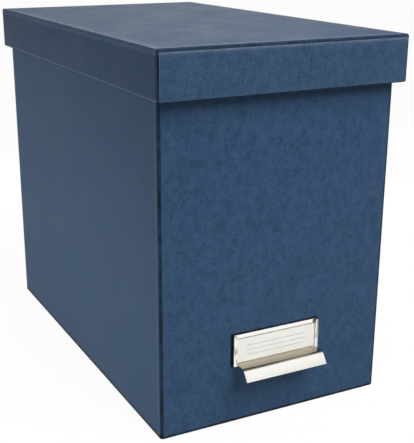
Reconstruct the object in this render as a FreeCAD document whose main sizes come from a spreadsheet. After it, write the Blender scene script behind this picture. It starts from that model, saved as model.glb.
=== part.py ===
import FreeCAD, Part
import Sketcher
import os
import re

# File storage box of solid fibreboard: a paper covered base with a riveted label holder,
# a lift-off lid, and hanging files that ride on rails on the two short walls.
# Millimetres. The origin is the middle of the underside, +Z is up, the label holder faces -Y,
# and left is -X.

SIZES = {
    # Outer form
    "base_width": 182.0,
    "base_length": 315.8,
    "overall_height": 270.1,
    "skirt_height": 32.7,
    "corner_radius": 2.2,
    "foot_radius": 1.0,
    # Boards, papers and tapes
    "wall_board": 3.0,
    "lid_board": 3.0,
    "cover_paper": 0.4,
    "lining_paper": 0.3,
    "stay_tape": 0.2,
    "stay_reach": 20.0,
    "underside_paper": 0.3,
    "underside_inset": 4.0,
    "underside_turn": 15.0,
    "rim_turn": 22.0,
    "skirt_turn": 14.0,
    "end_wall_drop": 19.4,
    "lid_side_clearance": 0.45,
    # Rails
    "rail_steel": 0.8,
    "rail_clearance": 0.1,
    "rail_end_clearance": 0.3,
    "rail_depth": 7.8,
    # Label holder, rivets and card
    "holder_steel": 0.8,
    "holder_width": 70.0,
    "holder_bottom": 45.4,
    "frame_height": 22.8,
    "flange_width": 2.4,
    "card_channel": 1.4,
    "lip_width": 66.0,
    "lip_root_rise": 1.7,
    "lip_shelf": 12.6,
    "lip_slope_length": 9.4,
    "lip_slope_angle": 53.6,
    "lip_crest_radius": 4.0,
    "lip_root_radius": 0.5,
    "relief_width": 2.0,
    "relief_margin": 0.4,
    "rivet_spacing": 44.0,
    "rivet_radius": 1.5,
    "rivet_clearance": 0.1,
    "rivet_head_radius": 3.0,
    "rivet_head": 0.5,
    "rivet_tail_radius": 2.6,
    "rivet_tail_top_radius": 1.7,
    "rivet_tail": 1.0,
    "washer_radius": 4.5,
    "washer_steel": 0.8,
    "card_paper": 0.5,
    "card_back_clearance": 0.15,
    "card_side_clearance": 0.3,
    "card_seat_clearance": 0.1,
    "card_top_inset": 3.1,
    # Hanging files
    "file_count": 6,
    "rod_steel": 1.2,
    "rod_spread": 12.0,
    "hook_seat_clearance": 0.2,
    "hook_neck": 5.0,
    "hook_depth": 6.0,
    "hook_tip": 2.4,
    "hook_gap": 0.6,
    "hook_inner_gap": 1.5,
    "hook_lid_clearance": 1.3,
    "hook_chamfer": 1.6,
    "folder_card": 0.4,
    "folder_end_gap": 2.3,
    "folder_floor_gap": 14.5,
    "folder_bottom_width": 6.0,
    "hem_clearance": 0.15,
    "hem_margin": 1.5,
    "tab_width": 50.0,
    "tab_wall": 0.5,
    "tab_gap": 0.6,
    "tab_leg": 8.0,
    "tab_lid_clearance": 1.9,
    "tab_step": 38.0,
    "tongue_width": 7.6,
    "tongue_height": 1.6,
    "tongue_spacing": 26.0,
    "tongue_drop": 5.0,
    "slot_clearance": 0.2,
    "insert_paper": 0.3,
    "insert_side_clearance": 1.0,
    "insert_clearance": 0.15,
}

# What follows from the sizes above. A formula may use any name that stands before it.
DERIVED = {
    "side_skin": "cover_paper + stay_tape",
    "board_bottom": "underside_paper + cover_paper",
    "floor_board_top": "board_bottom + wall_board",
    "floor_top": "floor_board_top + lining_paper",
    "side_rim": "overall_height - cover_paper - lid_board - lining_paper",
    "side_board_top": "side_rim - cover_paper",
    "end_rim": "side_rim - end_wall_drop",
    "end_board_top": "end_rim - cover_paper",
    "rim_turn_bottom": "end_rim - rim_turn",
    "inner_width": "base_width - 2 * (side_skin + wall_board)",
    "inner_length": "base_length - 2 * (side_skin + wall_board)",
    "turned_width": "inner_width - 2 * cover_paper",
    "turned_length": "inner_length - 2 * cover_paper",
    "front_face": "base_length / 2",
    "wall_inside": "inner_length / 2 - lining_paper",
    "rail_outer": "front_face + rail_clearance + rail_steel",
    "rail_inner": "turned_length / 2 - rail_clearance - rail_steel",
    "rail_top": "end_rim + rail_steel",
    "hook_seat": "rail_top + hook_seat_clearance",
    "rod_top": "hook_seat + hook_neck",
    "rod_bottom": "hook_seat - hook_depth",
    "tip_inner": "rail_outer + hook_gap",
    "tip_outer": "tip_inner + hook_tip",
    "bar_end": "rail_inner - hook_inner_gap",
    "lid_shell": "side_skin + lid_board",
    "lid_inner_width": "base_width + 2 * (lid_side_clearance + lining_paper)",
    "lid_inner_length": "2 * (tip_outer + hook_lid_clearance + lining_paper)",
    "lid_width": "lid_inner_width + 2 * lid_shell",
    "lid_length": "lid_inner_length + 2 * lid_shell",
    "lid_board_bottom": "side_rim + lining_paper",
    "lid_board_top": "overall_height - cover_paper",
    "skirt_bottom": "overall_height - skirt_height",
    "skirt_board_bottom": "skirt_bottom + cover_paper",
    "skirt_turn_top": "skirt_bottom + skirt_turn",
    "holder_top": "holder_bottom + frame_height",
    "lip_root_top": "holder_bottom + lip_root_rise",
    "flange_back": "holder_steel + card_channel",
    "flange_front": "flange_back + holder_steel",
    "rivet_height": "holder_bottom + frame_height / 2",
    "rivet_hole_radius": "rivet_radius + rivet_clearance",
    "washer_inside": "wall_inside - washer_steel",
    "card_back": "holder_steel + rivet_head + card_back_clearance",
    "hem_half": "rod_steel / 2 + hem_clearance + folder_card",
    "hem_top": "rod_top + hem_clearance + folder_card",
    "flap_bottom": "rod_bottom - hem_margin",
    "folder_bottom": "floor_top + folder_floor_gap",
    "file_pitch": "turned_width / file_count",
    "tab_top": "side_rim - tab_lid_clearance",
    "tab_face": "rod_spread / 2 + hem_half",
    "tongue_level": "hem_top - tongue_drop",
}

document = FreeCAD.newDocument("FileStorageBox")
sheet = document.addObject("Spreadsheet::Sheet", "Sizes")
for row, (alias, content) in enumerate([*SIZES.items(), *DERIVED.items()], start=1):
    sheet.set(f"A{row}", alias)
    sheet.set(f"B{row}", f"={content}" if alias in DERIVED else str(content))
    sheet.setAlias(f"B{row}", alias)
document.recompute()

nodes = []


def size(alias):
    """The value of one named size."""
    return float(sheet.get(alias))


def bind(feature, prop, formula):
    """Ties a property to a formula over the sheet's names."""
    names = {**SIZES, **DERIVED}
    feature.setExpression(prop, re.sub(r"[a-z_]+", lambda m: f"Sizes.{m[0]}" if m[0] in names else m[0], formula))


def place(feature, x="0", y="0", z="0"):
    """Ties an object's position to three formulas."""
    for axis, formula in zip("xyz", (x, y, z)):
        bind(feature, f"Placement.Base.{axis}", formula)


def node(feature, name):
    """Marks an object as one of the box's sub-parts."""
    feature.Label = name
    nodes.append(feature)
    return feature


def middle(width):
    """The low and high formula of a stretch centred on the origin."""
    return f"-({width}) / 2", f"({width}) / 2"


def around(centre, width):
    """The low and high formula of a stretch centred on a formula."""
    return f"({centre}) - ({width}) / 2", f"({centre}) + ({width}) / 2"


def mirrored(low, high):
    """The same stretch on the other side of the middle."""
    return f"-({high})", f"-({low})"


def unmirrored(low, high):
    """The stretch itself, for the side that needs no mirror."""
    return low, high


def before_front(near_side, far_side):
    """The Y stretch between two distances in front of the front face."""
    return mirrored(f"front_face + {near_side}", f"front_face + {far_side}")


def block(name, x, y, z):
    """A box between the low and high formula of each axis."""
    box = document.addObject("Part::Box", name)
    for prop, (low, high) in zip(("Length", "Width", "Height"), (x, y, z)):
        bind(box, prop, f"({high}) - ({low})")
    place(box, x[0], y[0], z[0])
    return box


def fuse(name, *shapes):
    """One solid from shapes that meet."""
    fused = document.addObject("Part::MultiFuse", name)
    fused.Shapes = list(shapes)
    fused.Refine = True
    return fused


def group(name, *shapes):
    """Separate identical solids that share a node."""
    compound = document.addObject("Part::Compound", name)
    compound.Links = list(shapes)
    return compound


def cut(name, base, *tools):
    """A shape less the tools."""
    result = document.addObject("Part::Cut", name)
    result.Base = base
    result.Tool = tools[0] if len(tools) == 1 else fuse(f"{name}_tool", *tools)
    result.Refine = True
    return result


def common(name, *shapes):
    """What the shapes share."""
    shared = document.addObject("Part::MultiCommon", name)
    shared.Shapes = list(shapes)
    shared.Refine = True
    return shared


def lay_along_y(feature, length, x, y, z):
    """Turns a round primitive to run along +Y from a point."""
    bind(feature, "Height", length)
    feature.Placement = FreeCAD.Placement(FreeCAD.Vector(), FreeCAD.Rotation(FreeCAD.Vector(1, 0, 0), -90))
    place(feature, x, y, z)
    return feature


def cylinder(name, radius, length, x, y, z):
    """A cylinder along +Y from a point."""
    rod = document.addObject("Part::Cylinder", name)
    bind(rod, "Radius", radius)
    return lay_along_y(rod, length, x, y, z)


def sketch(body, role, points):
    """A closed outline on one of the body's own planes, each corner tied to two formulas."""
    outline = body.newObject("Sketcher::SketchObject", f"{body.Name}_outline")
    plane = next(item for item in body.Origin.OriginFeatures if item.Role == role)
    outline.AttachmentSupport = [(plane, "")]
    outline.MapMode = "FlatFace"
    count = len(points)
    rough = [FreeCAD.Vector(index, index * index, 0) for index in range(count)]
    for index in range(count):
        outline.addGeometry(Part.LineSegment(rough[index], rough[(index + 1) % count]), False)
    for index in range(count):
        outline.addConstraint(Sketcher.Constraint("Coincident", index, 2, (index + 1) % count, 1))
    for index, corner in enumerate(points):
        for kind, formula in zip(("DistanceX", "DistanceY"), corner):
            number = outline.addConstraint(Sketcher.Constraint(kind, index, 1, float(index + 1)))
            bind(outline, f"Constraints[{number}]", formula)
    return outline


def pad(body, outline, length, centred=False):
    """An outline given a thickness."""
    feature = body.newObject("PartDesign::Pad", f"{body.Name}_pad")
    feature.Profile = outline
    feature.Midplane = centred
    bind(feature, "Length", length)
    return feature


def fillet(body, base, radius, chosen):
    """Rounds the base's edges that a test picks."""
    document.recompute()
    edges = [f"Edge{number}" for number, edge in enumerate(base.Shape.Edges, start=1) if chosen(edge)]
    feature = body.newObject("PartDesign::Fillet", f"{body.Name}_round")
    feature.Base = (base, edges)
    bind(feature, "Radius", radius)
    document.recompute()
    return feature


def near(first, second):
    """Whether two lengths agree."""
    return abs(first - second) < 1e-4


def upright(edge):
    """Whether an edge runs along Z."""
    start, end = edge.Vertexes[0].Point, edge.Vertexes[-1].Point
    return near(start.x, end.x) and near(start.y, end.y)


def at_height(height):
    """A test for edges that lie at one height."""
    return lambda edge: near(edge.BoundBox.ZMin, height) and near(edge.BoundBox.ZMax, height)


def along_x(reach, height):
    """A test for edges that run along X at a reach from the front face and a height."""
    def test(edge):
        box = edge.BoundBox
        level = near(box.YMin, box.YMax) and near(box.ZMin, box.ZMax)
        return level and near(-box.YMin, size("front_face") + reach) and near(box.ZMin, height)
    return test


def rounded_block(name, inset, width, length, low, high):
    """A centred block drawn in under the paper, and its pad."""
    body = document.addObject("PartDesign::Body", name)
    left, right = middle(f"{width} - 2 * {inset}")
    front, back = middle(f"{length} - 2 * {inset}")
    outline = sketch(body, "XY_Plane", [(left, front), (right, front), (right, back), (left, back)])
    form = pad(body, outline, f"{high} - {low}")
    place(body, z=low)
    document.recompute()
    return body, form


def base_block(name, inset, low, high, rounded_foot=True):
    """The base's outer form, or that form drawn in under the paper."""
    body, form = rounded_block(name, inset, "base_width", "base_length", low, high)
    sides = fillet(body, form, f"corner_radius - {inset}", upright)
    if rounded_foot:
        fillet(body, sides, f"foot_radius - {inset}", at_height(0))
    return body


def lid_block(name, inset, low, high):
    """The lid's outer form, or that form drawn in under the paper."""
    body, form = rounded_block(name, inset, "lid_width", "lid_length", low, high)
    at_top = at_height(form.Shape.BoundBox.ZMax)
    fillet(body, form, f"corner_radius - {inset}", lambda edge: upright(edge) or at_top(edge))
    return body


def corner_stays(name, shell, core, width, length):
    """Tape angles at four upright corners: a thin shell with its four sides opened."""
    full_height = ("0", "overall_height")
    across = block(f"{name}_across", middle(f"{width} - 2 * stay_reach"), middle(f"2 * {length}"), full_height)
    along = block(f"{name}_along", middle(f"2 * {width}"), middle(f"{length} - 2 * stay_reach"), full_height)
    return node(cut(f"{name}_shell", shell, core, across, along), name)


def paper_frame(name, width, length, low, high):
    """A lining strip round the inside of a rectangle."""
    outer = block(f"{name}_outer", middle(width), middle(length), (low, high))
    inner = block(f"{name}_inner", middle(f"{width} - 2 * lining_paper"), middle(f"{length} - 2 * lining_paper"),
                  (low, high))
    return cut(name, outer, inner)


# Rivet holes, which pass through the holder, the cover paper, the front wall and its lining
RIVETS = {"left": "-rivet_spacing / 2", "right": "rivet_spacing / 2"}
rivet_holes = [
    cylinder(f"rivet_hole_{side}", "rivet_hole_radius", "3 * (front_face - wall_inside)",
             x, "-2 * front_face + wall_inside", "rivet_height")
    for side, x in RIVETS.items()
]

# Base boards: the long walls run past the short ones, and all stand round the floor
base_core = base_block("base_core", "side_skin", "board_bottom", "side_board_top")
across_floor = middle("inner_width")
along_floor = middle("inner_length")
full_length = middle("base_length")
left_side = ("-base_width / 2", "-inner_width / 2")
right_side = mirrored(*left_side)
front_side = ("-front_face", "-inner_length / 2")
back_side = mirrored(*front_side)
side_height = ("board_bottom", "side_board_top")
end_height = ("board_bottom", "end_board_top")

floor_board = node(block("floor", across_floor, along_floor, ("board_bottom", "floor_board_top")), "floor_board")
front_panel = common("front_panel", base_core, block("front_slab", across_floor, front_side, end_height))
front_wall = node(cut("front_wall", front_panel, *rivet_holes), "front_wall_board")
back_wall = node(common("back_wall", base_core, block("back_slab", across_floor, back_side, end_height)),
                 "back_wall_board")
left_wall = node(common("left_wall", base_core, block("left_slab", left_side, full_length, side_height)),
                 "left_wall_board")
right_wall = node(common("right_wall", base_core, block("right_slab", right_side, full_length, side_height)),
                  "right_wall_board")

# Base tape, cover paper, linings and underside
base_tape = base_block("base_tape", "cover_paper", "(board_bottom + foot_radius)", "end_board_top",
                       rounded_foot=False)
base_stays = corner_stays("base_corner_stays", base_tape, base_core, "base_width", "base_length")
base_form = base_block("base_form", "0", "underside_paper", "side_rim")
within_turns = (middle("turned_width"), middle("turned_length"))
under_turn = (middle("base_width - 2 * underside_turn"), middle("base_length - 2 * underside_turn"),
              ("underside_paper", "board_bottom"))
above_ends = block("above_ends", middle("turned_width"), full_length, ("end_rim", "side_rim"))
inside_turns = block("inside_turns", *within_turns, ("floor_board_top", "side_rim"))
below_turns = block("below_turns", across_floor, along_floor, ("floor_board_top", "rim_turn_bottom"))
under_floor = block("under_floor", *under_turn)
node(cut("base_wrap", base_form, floor_board, left_wall, right_wall, front_wall, back_wall, base_stays,
         above_ends, inside_turns, below_turns, under_floor, *rivet_holes), "base_cover")

wall_paper = paper_frame("wall_paper", "inner_width", "inner_length", "floor_board_top", "rim_turn_bottom")
node(cut("wall_paper_pierced", wall_paper, *rivet_holes), "base_wall_lining")
node(block("floor_paper", middle("inner_width - 2 * lining_paper"), middle("inner_length - 2 * lining_paper"),
           ("floor_board_top", "floor_top")), "base_floor_lining")
sole = block("sole", middle("base_width - 2 * underside_inset"), middle("base_length - 2 * underside_inset"),
             ("0", "underside_paper"))
node(fuse("sole_sheet", sole, block("sole_middle", *under_turn)), "underside_sheet")


def rail(name, side):
    """A steel channel over the rim of an end wall."""
    body = document.addObject("PartDesign::Body", name)
    low, under = "rail_top - rail_depth", "rail_top - rail_steel"
    corners = [("rail_inner", low), ("rail_inner", "rail_top"), ("rail_outer", "rail_top"), ("rail_outer", low),
               ("rail_outer - rail_steel", low), ("rail_outer - rail_steel", under),
               ("rail_inner + rail_steel", under), ("rail_inner + rail_steel", low)]
    outline = sketch(body, "YZ_Plane", [(f"{side} * ({y})", z) for y, z in corners])
    pad(body, outline, "turned_width - 2 * rail_end_clearance", centred=True)
    return node(body, name)


rail("front_rail", -1)
rail("back_rail", 1)


# Label holder: one pressed piece, a framed plate that bends forward into the finger lip
def crest_underside(edge):
    """Whether an edge is the inner corner under the lip's crest."""
    box = edge.BoundBox
    level = near(box.YMin, box.YMax) and near(box.ZMin, size("lip_root_top") - size("holder_steel"))
    return level and -box.YMin > size("front_face") + size("lip_shelf") / 2


def holder_strip():
    """The plate and the lip as one bent strip."""
    body = document.addObject("PartDesign::Body", "holder_strip")
    slope = "lip_slope_angle * 1deg"
    edge_reach = f"lip_shelf + lip_slope_length * cos({slope})"
    edge_height = f"lip_root_top - lip_slope_length * sin({slope})"
    under = "lip_root_top - holder_steel"
    corners = [("0", "holder_top"), ("holder_steel", "holder_top"), ("holder_steel", "lip_root_top"),
               ("lip_shelf", "lip_root_top"), (edge_reach, edge_height),
               (f"{edge_reach} - holder_steel * sin({slope})", f"{edge_height} - holder_steel * cos({slope})"),
               (f"lip_shelf - holder_steel * tan({slope} / 2)", under), ("0", under)]
    outline = sketch(body, "YZ_Plane", [(f"-(front_face + {reach})", height) for reach, height in corners])
    strip = pad(body, outline, "lip_width", centred=True)
    top, steel = size("lip_root_top"), size("holder_steel")
    strip = fillet(body, strip, "lip_crest_radius", along_x(size("lip_shelf"), top))
    strip = fillet(body, strip, "lip_crest_radius - holder_steel", crest_underside)
    strip = fillet(body, strip, "lip_root_radius", along_x(steel, top))
    fillet(body, strip, "lip_root_radius + holder_steel", along_x(0, top - steel))
    return body


holder_edge = "holder_width / 2"
relief_edge = "lip_width / 2 - relief_width"
frame_stretch = ("holder_bottom", "holder_top")
relief_stretch = ("lip_root_top - holder_steel - relief_margin", "lip_root_top + relief_margin")
frame_pieces = []
reliefs = []
for side, turn in {"left": mirrored, "right": unmirrored}.items():
    reliefs.append(
        block(f"relief_{side}", turn(relief_edge, holder_edge),
              before_front("holder_steel", "flange_front + relief_margin"), relief_stretch))
    frame_pieces += [
        block(f"holder_plate_{side}", turn(relief_edge, holder_edge), before_front("0", "holder_steel"),
              frame_stretch),
        block(f"holder_side_{side}", turn(f"{holder_edge} - holder_steel", holder_edge),
              before_front("0", "flange_front"), frame_stretch),
        block(f"holder_flange_{side}", turn(f"{holder_edge} - flange_width", holder_edge),
              before_front("flange_back", "flange_front"), frame_stretch),
    ]
relieved_strip = cut("relieved_strip", holder_strip(), *reliefs)
node(cut("holder", fuse("holder_whole", relieved_strip, *frame_pieces), *rivet_holes), "label_holder")

card_half_width = f"{holder_edge} - holder_steel - card_side_clearance"
node(block("card", middle(f"2 * ({card_half_width})"), before_front("card_back", "card_back + card_paper"),
           ("lip_root_top + card_seat_clearance", "holder_top - card_top_inset")), "label_card")


def rivet(side, x):
    """A flat head before the plate, a shank through the wall and a set tail on the washer."""
    head = cylinder(f"rivet_head_{side}", "rivet_head_radius", "rivet_head",
                    x, "-(front_face + holder_steel + rivet_head)", "rivet_height")
    shank = cylinder(f"rivet_shank_{side}", "rivet_radius", "front_face + holder_steel - washer_inside",
                     x, "-(front_face + holder_steel)", "rivet_height")
    tail = document.addObject("Part::Cone", f"rivet_tail_{side}")
    bind(tail, "Radius1", "rivet_tail_radius")
    bind(tail, "Radius2", "rivet_tail_top_radius")
    lay_along_y(tail, "rivet_tail", x, "-washer_inside", "rivet_height")
    return fuse(f"rivet_{side}", head, shank, tail)


def washer(side, x):
    """A flat ring on the inside of the front wall."""
    disc = cylinder(f"washer_disc_{side}", "washer_radius", "washer_steel", x, "-wall_inside", "rivet_height")
    hole = cylinder(f"washer_hole_{side}", "rivet_hole_radius", "washer_steel", x, "-wall_inside", "rivet_height")
    return cut(f"washer_{side}", disc, hole)


node(group("rivets", *[rivet(side, x) for side, x in RIVETS.items()]), "holder_rivets")
node(group("washers", *[washer(side, x) for side, x in RIVETS.items()]), "rivet_washers")

# Lid boards: a top board on four skirt boards, the long ones past the short ones
lid_core = lid_block("lid_core", "side_skin", "skirt_board_bottom", "lid_board_top")
across_lid = middle("lid_inner_width")
along_lid = middle("lid_inner_length")
lid_full = (middle("lid_width"), middle("lid_length"))
lid_left = ("-lid_width / 2", "-lid_inner_width / 2")
lid_front = ("-lid_length / 2", "-lid_inner_length / 2")
skirt_board = ("skirt_board_bottom", "lid_board_bottom")
lid_slabs = {
    "lid_top_board": block("lid_top_slab", *lid_full, ("lid_board_bottom", "lid_board_top")),
    "lid_front_skirt_board": block("lid_front_slab", across_lid, lid_front, skirt_board),
    "lid_back_skirt_board": block("lid_back_slab", across_lid, mirrored(*lid_front), skirt_board),
    "lid_left_skirt_board": block("lid_left_slab", lid_left, lid_full[1], skirt_board),
    "lid_right_skirt_board": block("lid_right_slab", mirrored(*lid_left), lid_full[1], skirt_board),
}
lid_boards = [node(common(f"{name}_form", lid_core, slab), name) for name, slab in lid_slabs.items()]

# Lid tape, cover paper and lining
lid_tape = lid_block("lid_tape", "cover_paper", "skirt_board_bottom", "lid_board_top")
below_lid_board = block("below_lid_board", *lid_full, skirt_board)
lid_stays = corner_stays("lid_corner_stays", common("lid_tape_shell", lid_tape, below_lid_board), lid_core,
                         "lid_width", "lid_length")
lid_form = lid_block("lid_form", "0", "skirt_bottom", "overall_height")
inside_lid_turns = block("inside_lid_turns", middle("lid_inner_width - 2 * cover_paper"),
                         middle("lid_inner_length - 2 * cover_paper"), ("skirt_bottom", "lid_board_bottom"))
above_lid_turns = block("above_lid_turns", across_lid, along_lid, ("skirt_turn_top", "lid_board_bottom"))
node(cut("lid_wrap", lid_form, *lid_boards, lid_stays, inside_lid_turns, above_lid_turns), "lid_cover")

lining_whole = block("lid_lining_whole", across_lid, along_lid, ("skirt_turn_top", "lid_board_bottom"))
lining_hollow = block("lid_lining_hollow", middle("lid_inner_width - 2 * lining_paper"),
                      middle("lid_inner_length - 2 * lining_paper"), ("skirt_turn_top", "side_rim"))
node(cut("lid_paper", lining_whole, lining_hollow), "lid_lining")


# Hanging files: a folded card on two hooked rods, with a clear tab over the left one
def folder_body(name, x):
    """The folded card: two leaves on a narrow bottom, each hemmed over its rod."""
    body = document.addObject("PartDesign::Body", name)
    inner, outer = "rod_spread / 2 - hem_half", "rod_spread / 2 + hem_half"
    half_bottom = "folder_bottom_width / 2"
    right = [(half_bottom, "folder_bottom"), (f"{inner} + folder_card", "flap_bottom"),
             (f"{inner} + folder_card", "hem_top - folder_card"), (f"{outer} - folder_card", "hem_top - folder_card"),
             (f"{outer} - folder_card", "flap_bottom"), (outer, "flap_bottom"), (outer, "hem_top"),
             (inner, "hem_top"), (inner, "flap_bottom"),
             (f"{half_bottom} - folder_card", "folder_bottom + folder_card")]
    left = [(f"-({across})", height) for across, height in reversed(right)]
    outline = sketch(body, "XZ_Plane", right + left)
    pad(body, outline, "2 * (bar_end - folder_end_gap)", centred=True)
    place(body, x)
    return body


def rod(name, x):
    """A flat steel rod whose hooked ends pass over the rails."""
    body = document.addObject("PartDesign::Body", name)
    back = [("tip_outer - hook_chamfer", "rod_top"), ("tip_outer", "rod_top - hook_chamfer"),
            ("tip_outer", "rod_bottom"), ("tip_inner", "rod_bottom"), ("tip_inner", "hook_seat"),
            ("bar_end", "hook_seat"), ("bar_end", "rod_bottom")]
    front = [(f"-({along})", height) for along, height in reversed(back)]
    pad(body, sketch(body, "YZ_Plane", back + front), "rod_steel", centred=True)
    place(body, x)
    return node(body, name)


def hanging_file(number):
    """One file, placed along the rails, its tab stepped back from the one before."""
    name = f"file_{number + 1}"
    row_place = f"({number} - (file_count - 1) / 2)"
    x = f"{row_place} * file_pitch"
    y = f"{row_place} * tab_step"
    face = f"{x} - tab_face"
    tongues = {"front": f"{y} - tongue_spacing / 2", "back": f"{y} + tongue_spacing / 2"}
    hem_wall = (face, f"{face} + folder_card")
    slots = [
        block(f"{name}_slot_{end}", hem_wall, around(place_y, "tongue_width + 2 * slot_clearance"),
              around("tongue_level", "tongue_height + 2 * slot_clearance"))
        for end, place_y in tongues.items()
    ]
    node(cut(f"{name}_slotted", folder_body(f"{name}_fold", x), *slots), f"{name}_folder")
    rod(f"{name}_left_rod", f"{x} - rod_spread / 2")
    rod(f"{name}_right_rod", f"{x} + rod_spread / 2")
    tab_stretch = around(y, "tab_width")
    outer_wall = (f"{face} - tab_wall", face)
    inner_wall = (f"{face} + tab_gap", f"{face} + tab_gap + tab_wall")
    tab_pieces = [
        block(f"{name}_tab_outer", outer_wall, tab_stretch, ("hem_top - tab_leg", "tab_top")),
        block(f"{name}_tab_inner", inner_wall, tab_stretch, ("hem_top", "tab_top")),
        block(f"{name}_tab_ridge", (outer_wall[0], inner_wall[1]), tab_stretch, ("tab_top - tab_wall", "tab_top")),
    ]
    tab_pieces += [
        block(f"{name}_tongue_{end}", hem_wall, around(place_y, "tongue_width"), around("tongue_level", "tongue_height"))
        for end, place_y in tongues.items()
    ]
    node(fuse(f"{name}_clear", *tab_pieces), f"{name}_tab")
    insert = block(f"{name}_insert", (f"{face} + insert_clearance", f"{face} + insert_clearance + insert_paper"),
                   around(y, "tab_width - 2 * insert_side_clearance"),
                   ("hem_top", "tab_top - tab_wall - insert_clearance"))
    node(insert, f"{name}_tab_insert")


for file_number in range(int(size("file_count"))):
    hanging_file(file_number)

document.recompute()

# Every object is sound, and every cut has taken something away, before a file is written
for item in document.Objects:
    if {"Invalid", "Error"} & set(item.State):
        raise RuntimeError(f"{item.Name} failed: {item.State}")
    if item.TypeId == "Part::Cut" and item.Shape.Volume > item.Base.Shape.Volume - 1e-3:
        raise RuntimeError(f"{item.Name} cuts nothing")
for item in nodes:
    if item.Shape.isNull() or not item.Shape.isValid():
        raise RuntimeError(f"{item.Label} has no sound shape")

os.makedirs("parts", exist_ok=True)
for item in nodes:
    item.Shape.exportStep(f"parts/{item.Label}.step")
    print(item.Label, len(item.Shape.Solids), round(item.Shape.Volume, 1))
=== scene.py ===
"""A file storage box of solid fibreboard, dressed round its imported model.

The base and the lid are wrapped in dark blue paper, with a separate sheet on each short end. A pressed nickel
label holder is riveted to the front. Inside, six hanging files ride on steel rails. Lengths are in metres, the
origin is the middle of the underside, +Z is up and the label holder faces -Y.
"""

import logging
import math
from dataclasses import dataclass, field
from enum import Enum
from typing import Callable, Iterable, Sequence

import bmesh
import bpy
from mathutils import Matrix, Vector


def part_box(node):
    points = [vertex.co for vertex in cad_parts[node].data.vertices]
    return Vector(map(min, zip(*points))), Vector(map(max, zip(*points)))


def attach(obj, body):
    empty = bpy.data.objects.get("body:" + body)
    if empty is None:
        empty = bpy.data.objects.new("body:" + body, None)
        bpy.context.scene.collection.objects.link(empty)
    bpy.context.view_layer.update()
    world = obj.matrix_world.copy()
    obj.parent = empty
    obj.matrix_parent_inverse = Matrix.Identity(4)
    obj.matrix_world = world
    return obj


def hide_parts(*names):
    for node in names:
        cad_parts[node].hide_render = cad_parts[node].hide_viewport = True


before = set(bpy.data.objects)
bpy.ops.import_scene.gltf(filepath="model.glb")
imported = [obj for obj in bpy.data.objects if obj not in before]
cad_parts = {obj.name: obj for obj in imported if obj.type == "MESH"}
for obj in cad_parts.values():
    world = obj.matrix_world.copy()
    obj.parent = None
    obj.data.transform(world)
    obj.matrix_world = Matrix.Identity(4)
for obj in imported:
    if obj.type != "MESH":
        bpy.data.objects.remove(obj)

LOG = logging.getLogger("file_box")
MM = 0.001
FILE_NUMBERS = range(1, 7)
# The cover paper's thickness in millimetres
PAPER = 0.4
# The tone of the cover paper at its darkest, its deepest painted shade
DARKEST = -1.6
# Points closer than this are one point, in millimetres, and the same once edges are rounded
WELD = 0.001
ROUNDED_WELD = 0.004
# Faces that meet at more than this angle meet at an edge, and at less than the second they are one flat face
SHARP_EDGE = math.radians(40)
FLAT = math.radians(0.5)
# Most values of a noise pattern lie between these
NOISE_SPAN = (0.3, 0.7)
WHITE = (1.0, 1.0, 1.0, 1.0)

Colour = tuple[float, float, float]
Point = tuple[float, float]
Station = tuple[float, float, float, float]


class End(Enum):
    """The two short ends of the box, by the sign of Y."""

    FRONT = -1
    BACK = 1


class Side(Enum):
    """The two long sides, by the sign of X."""

    LEFT = -1
    RIGHT = 1


class Plane(Enum):
    """The plane that an outline is drawn in, as the turn in degrees that stands it up from the floor."""

    XZ = (90.0, 0.0, 0.0)
    YZ = (90.0, 0.0, 90.0)

    def turn(self) -> list[float]:
        """The turn in radians."""
        return [math.radians(angle) for angle in self.value]


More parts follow.
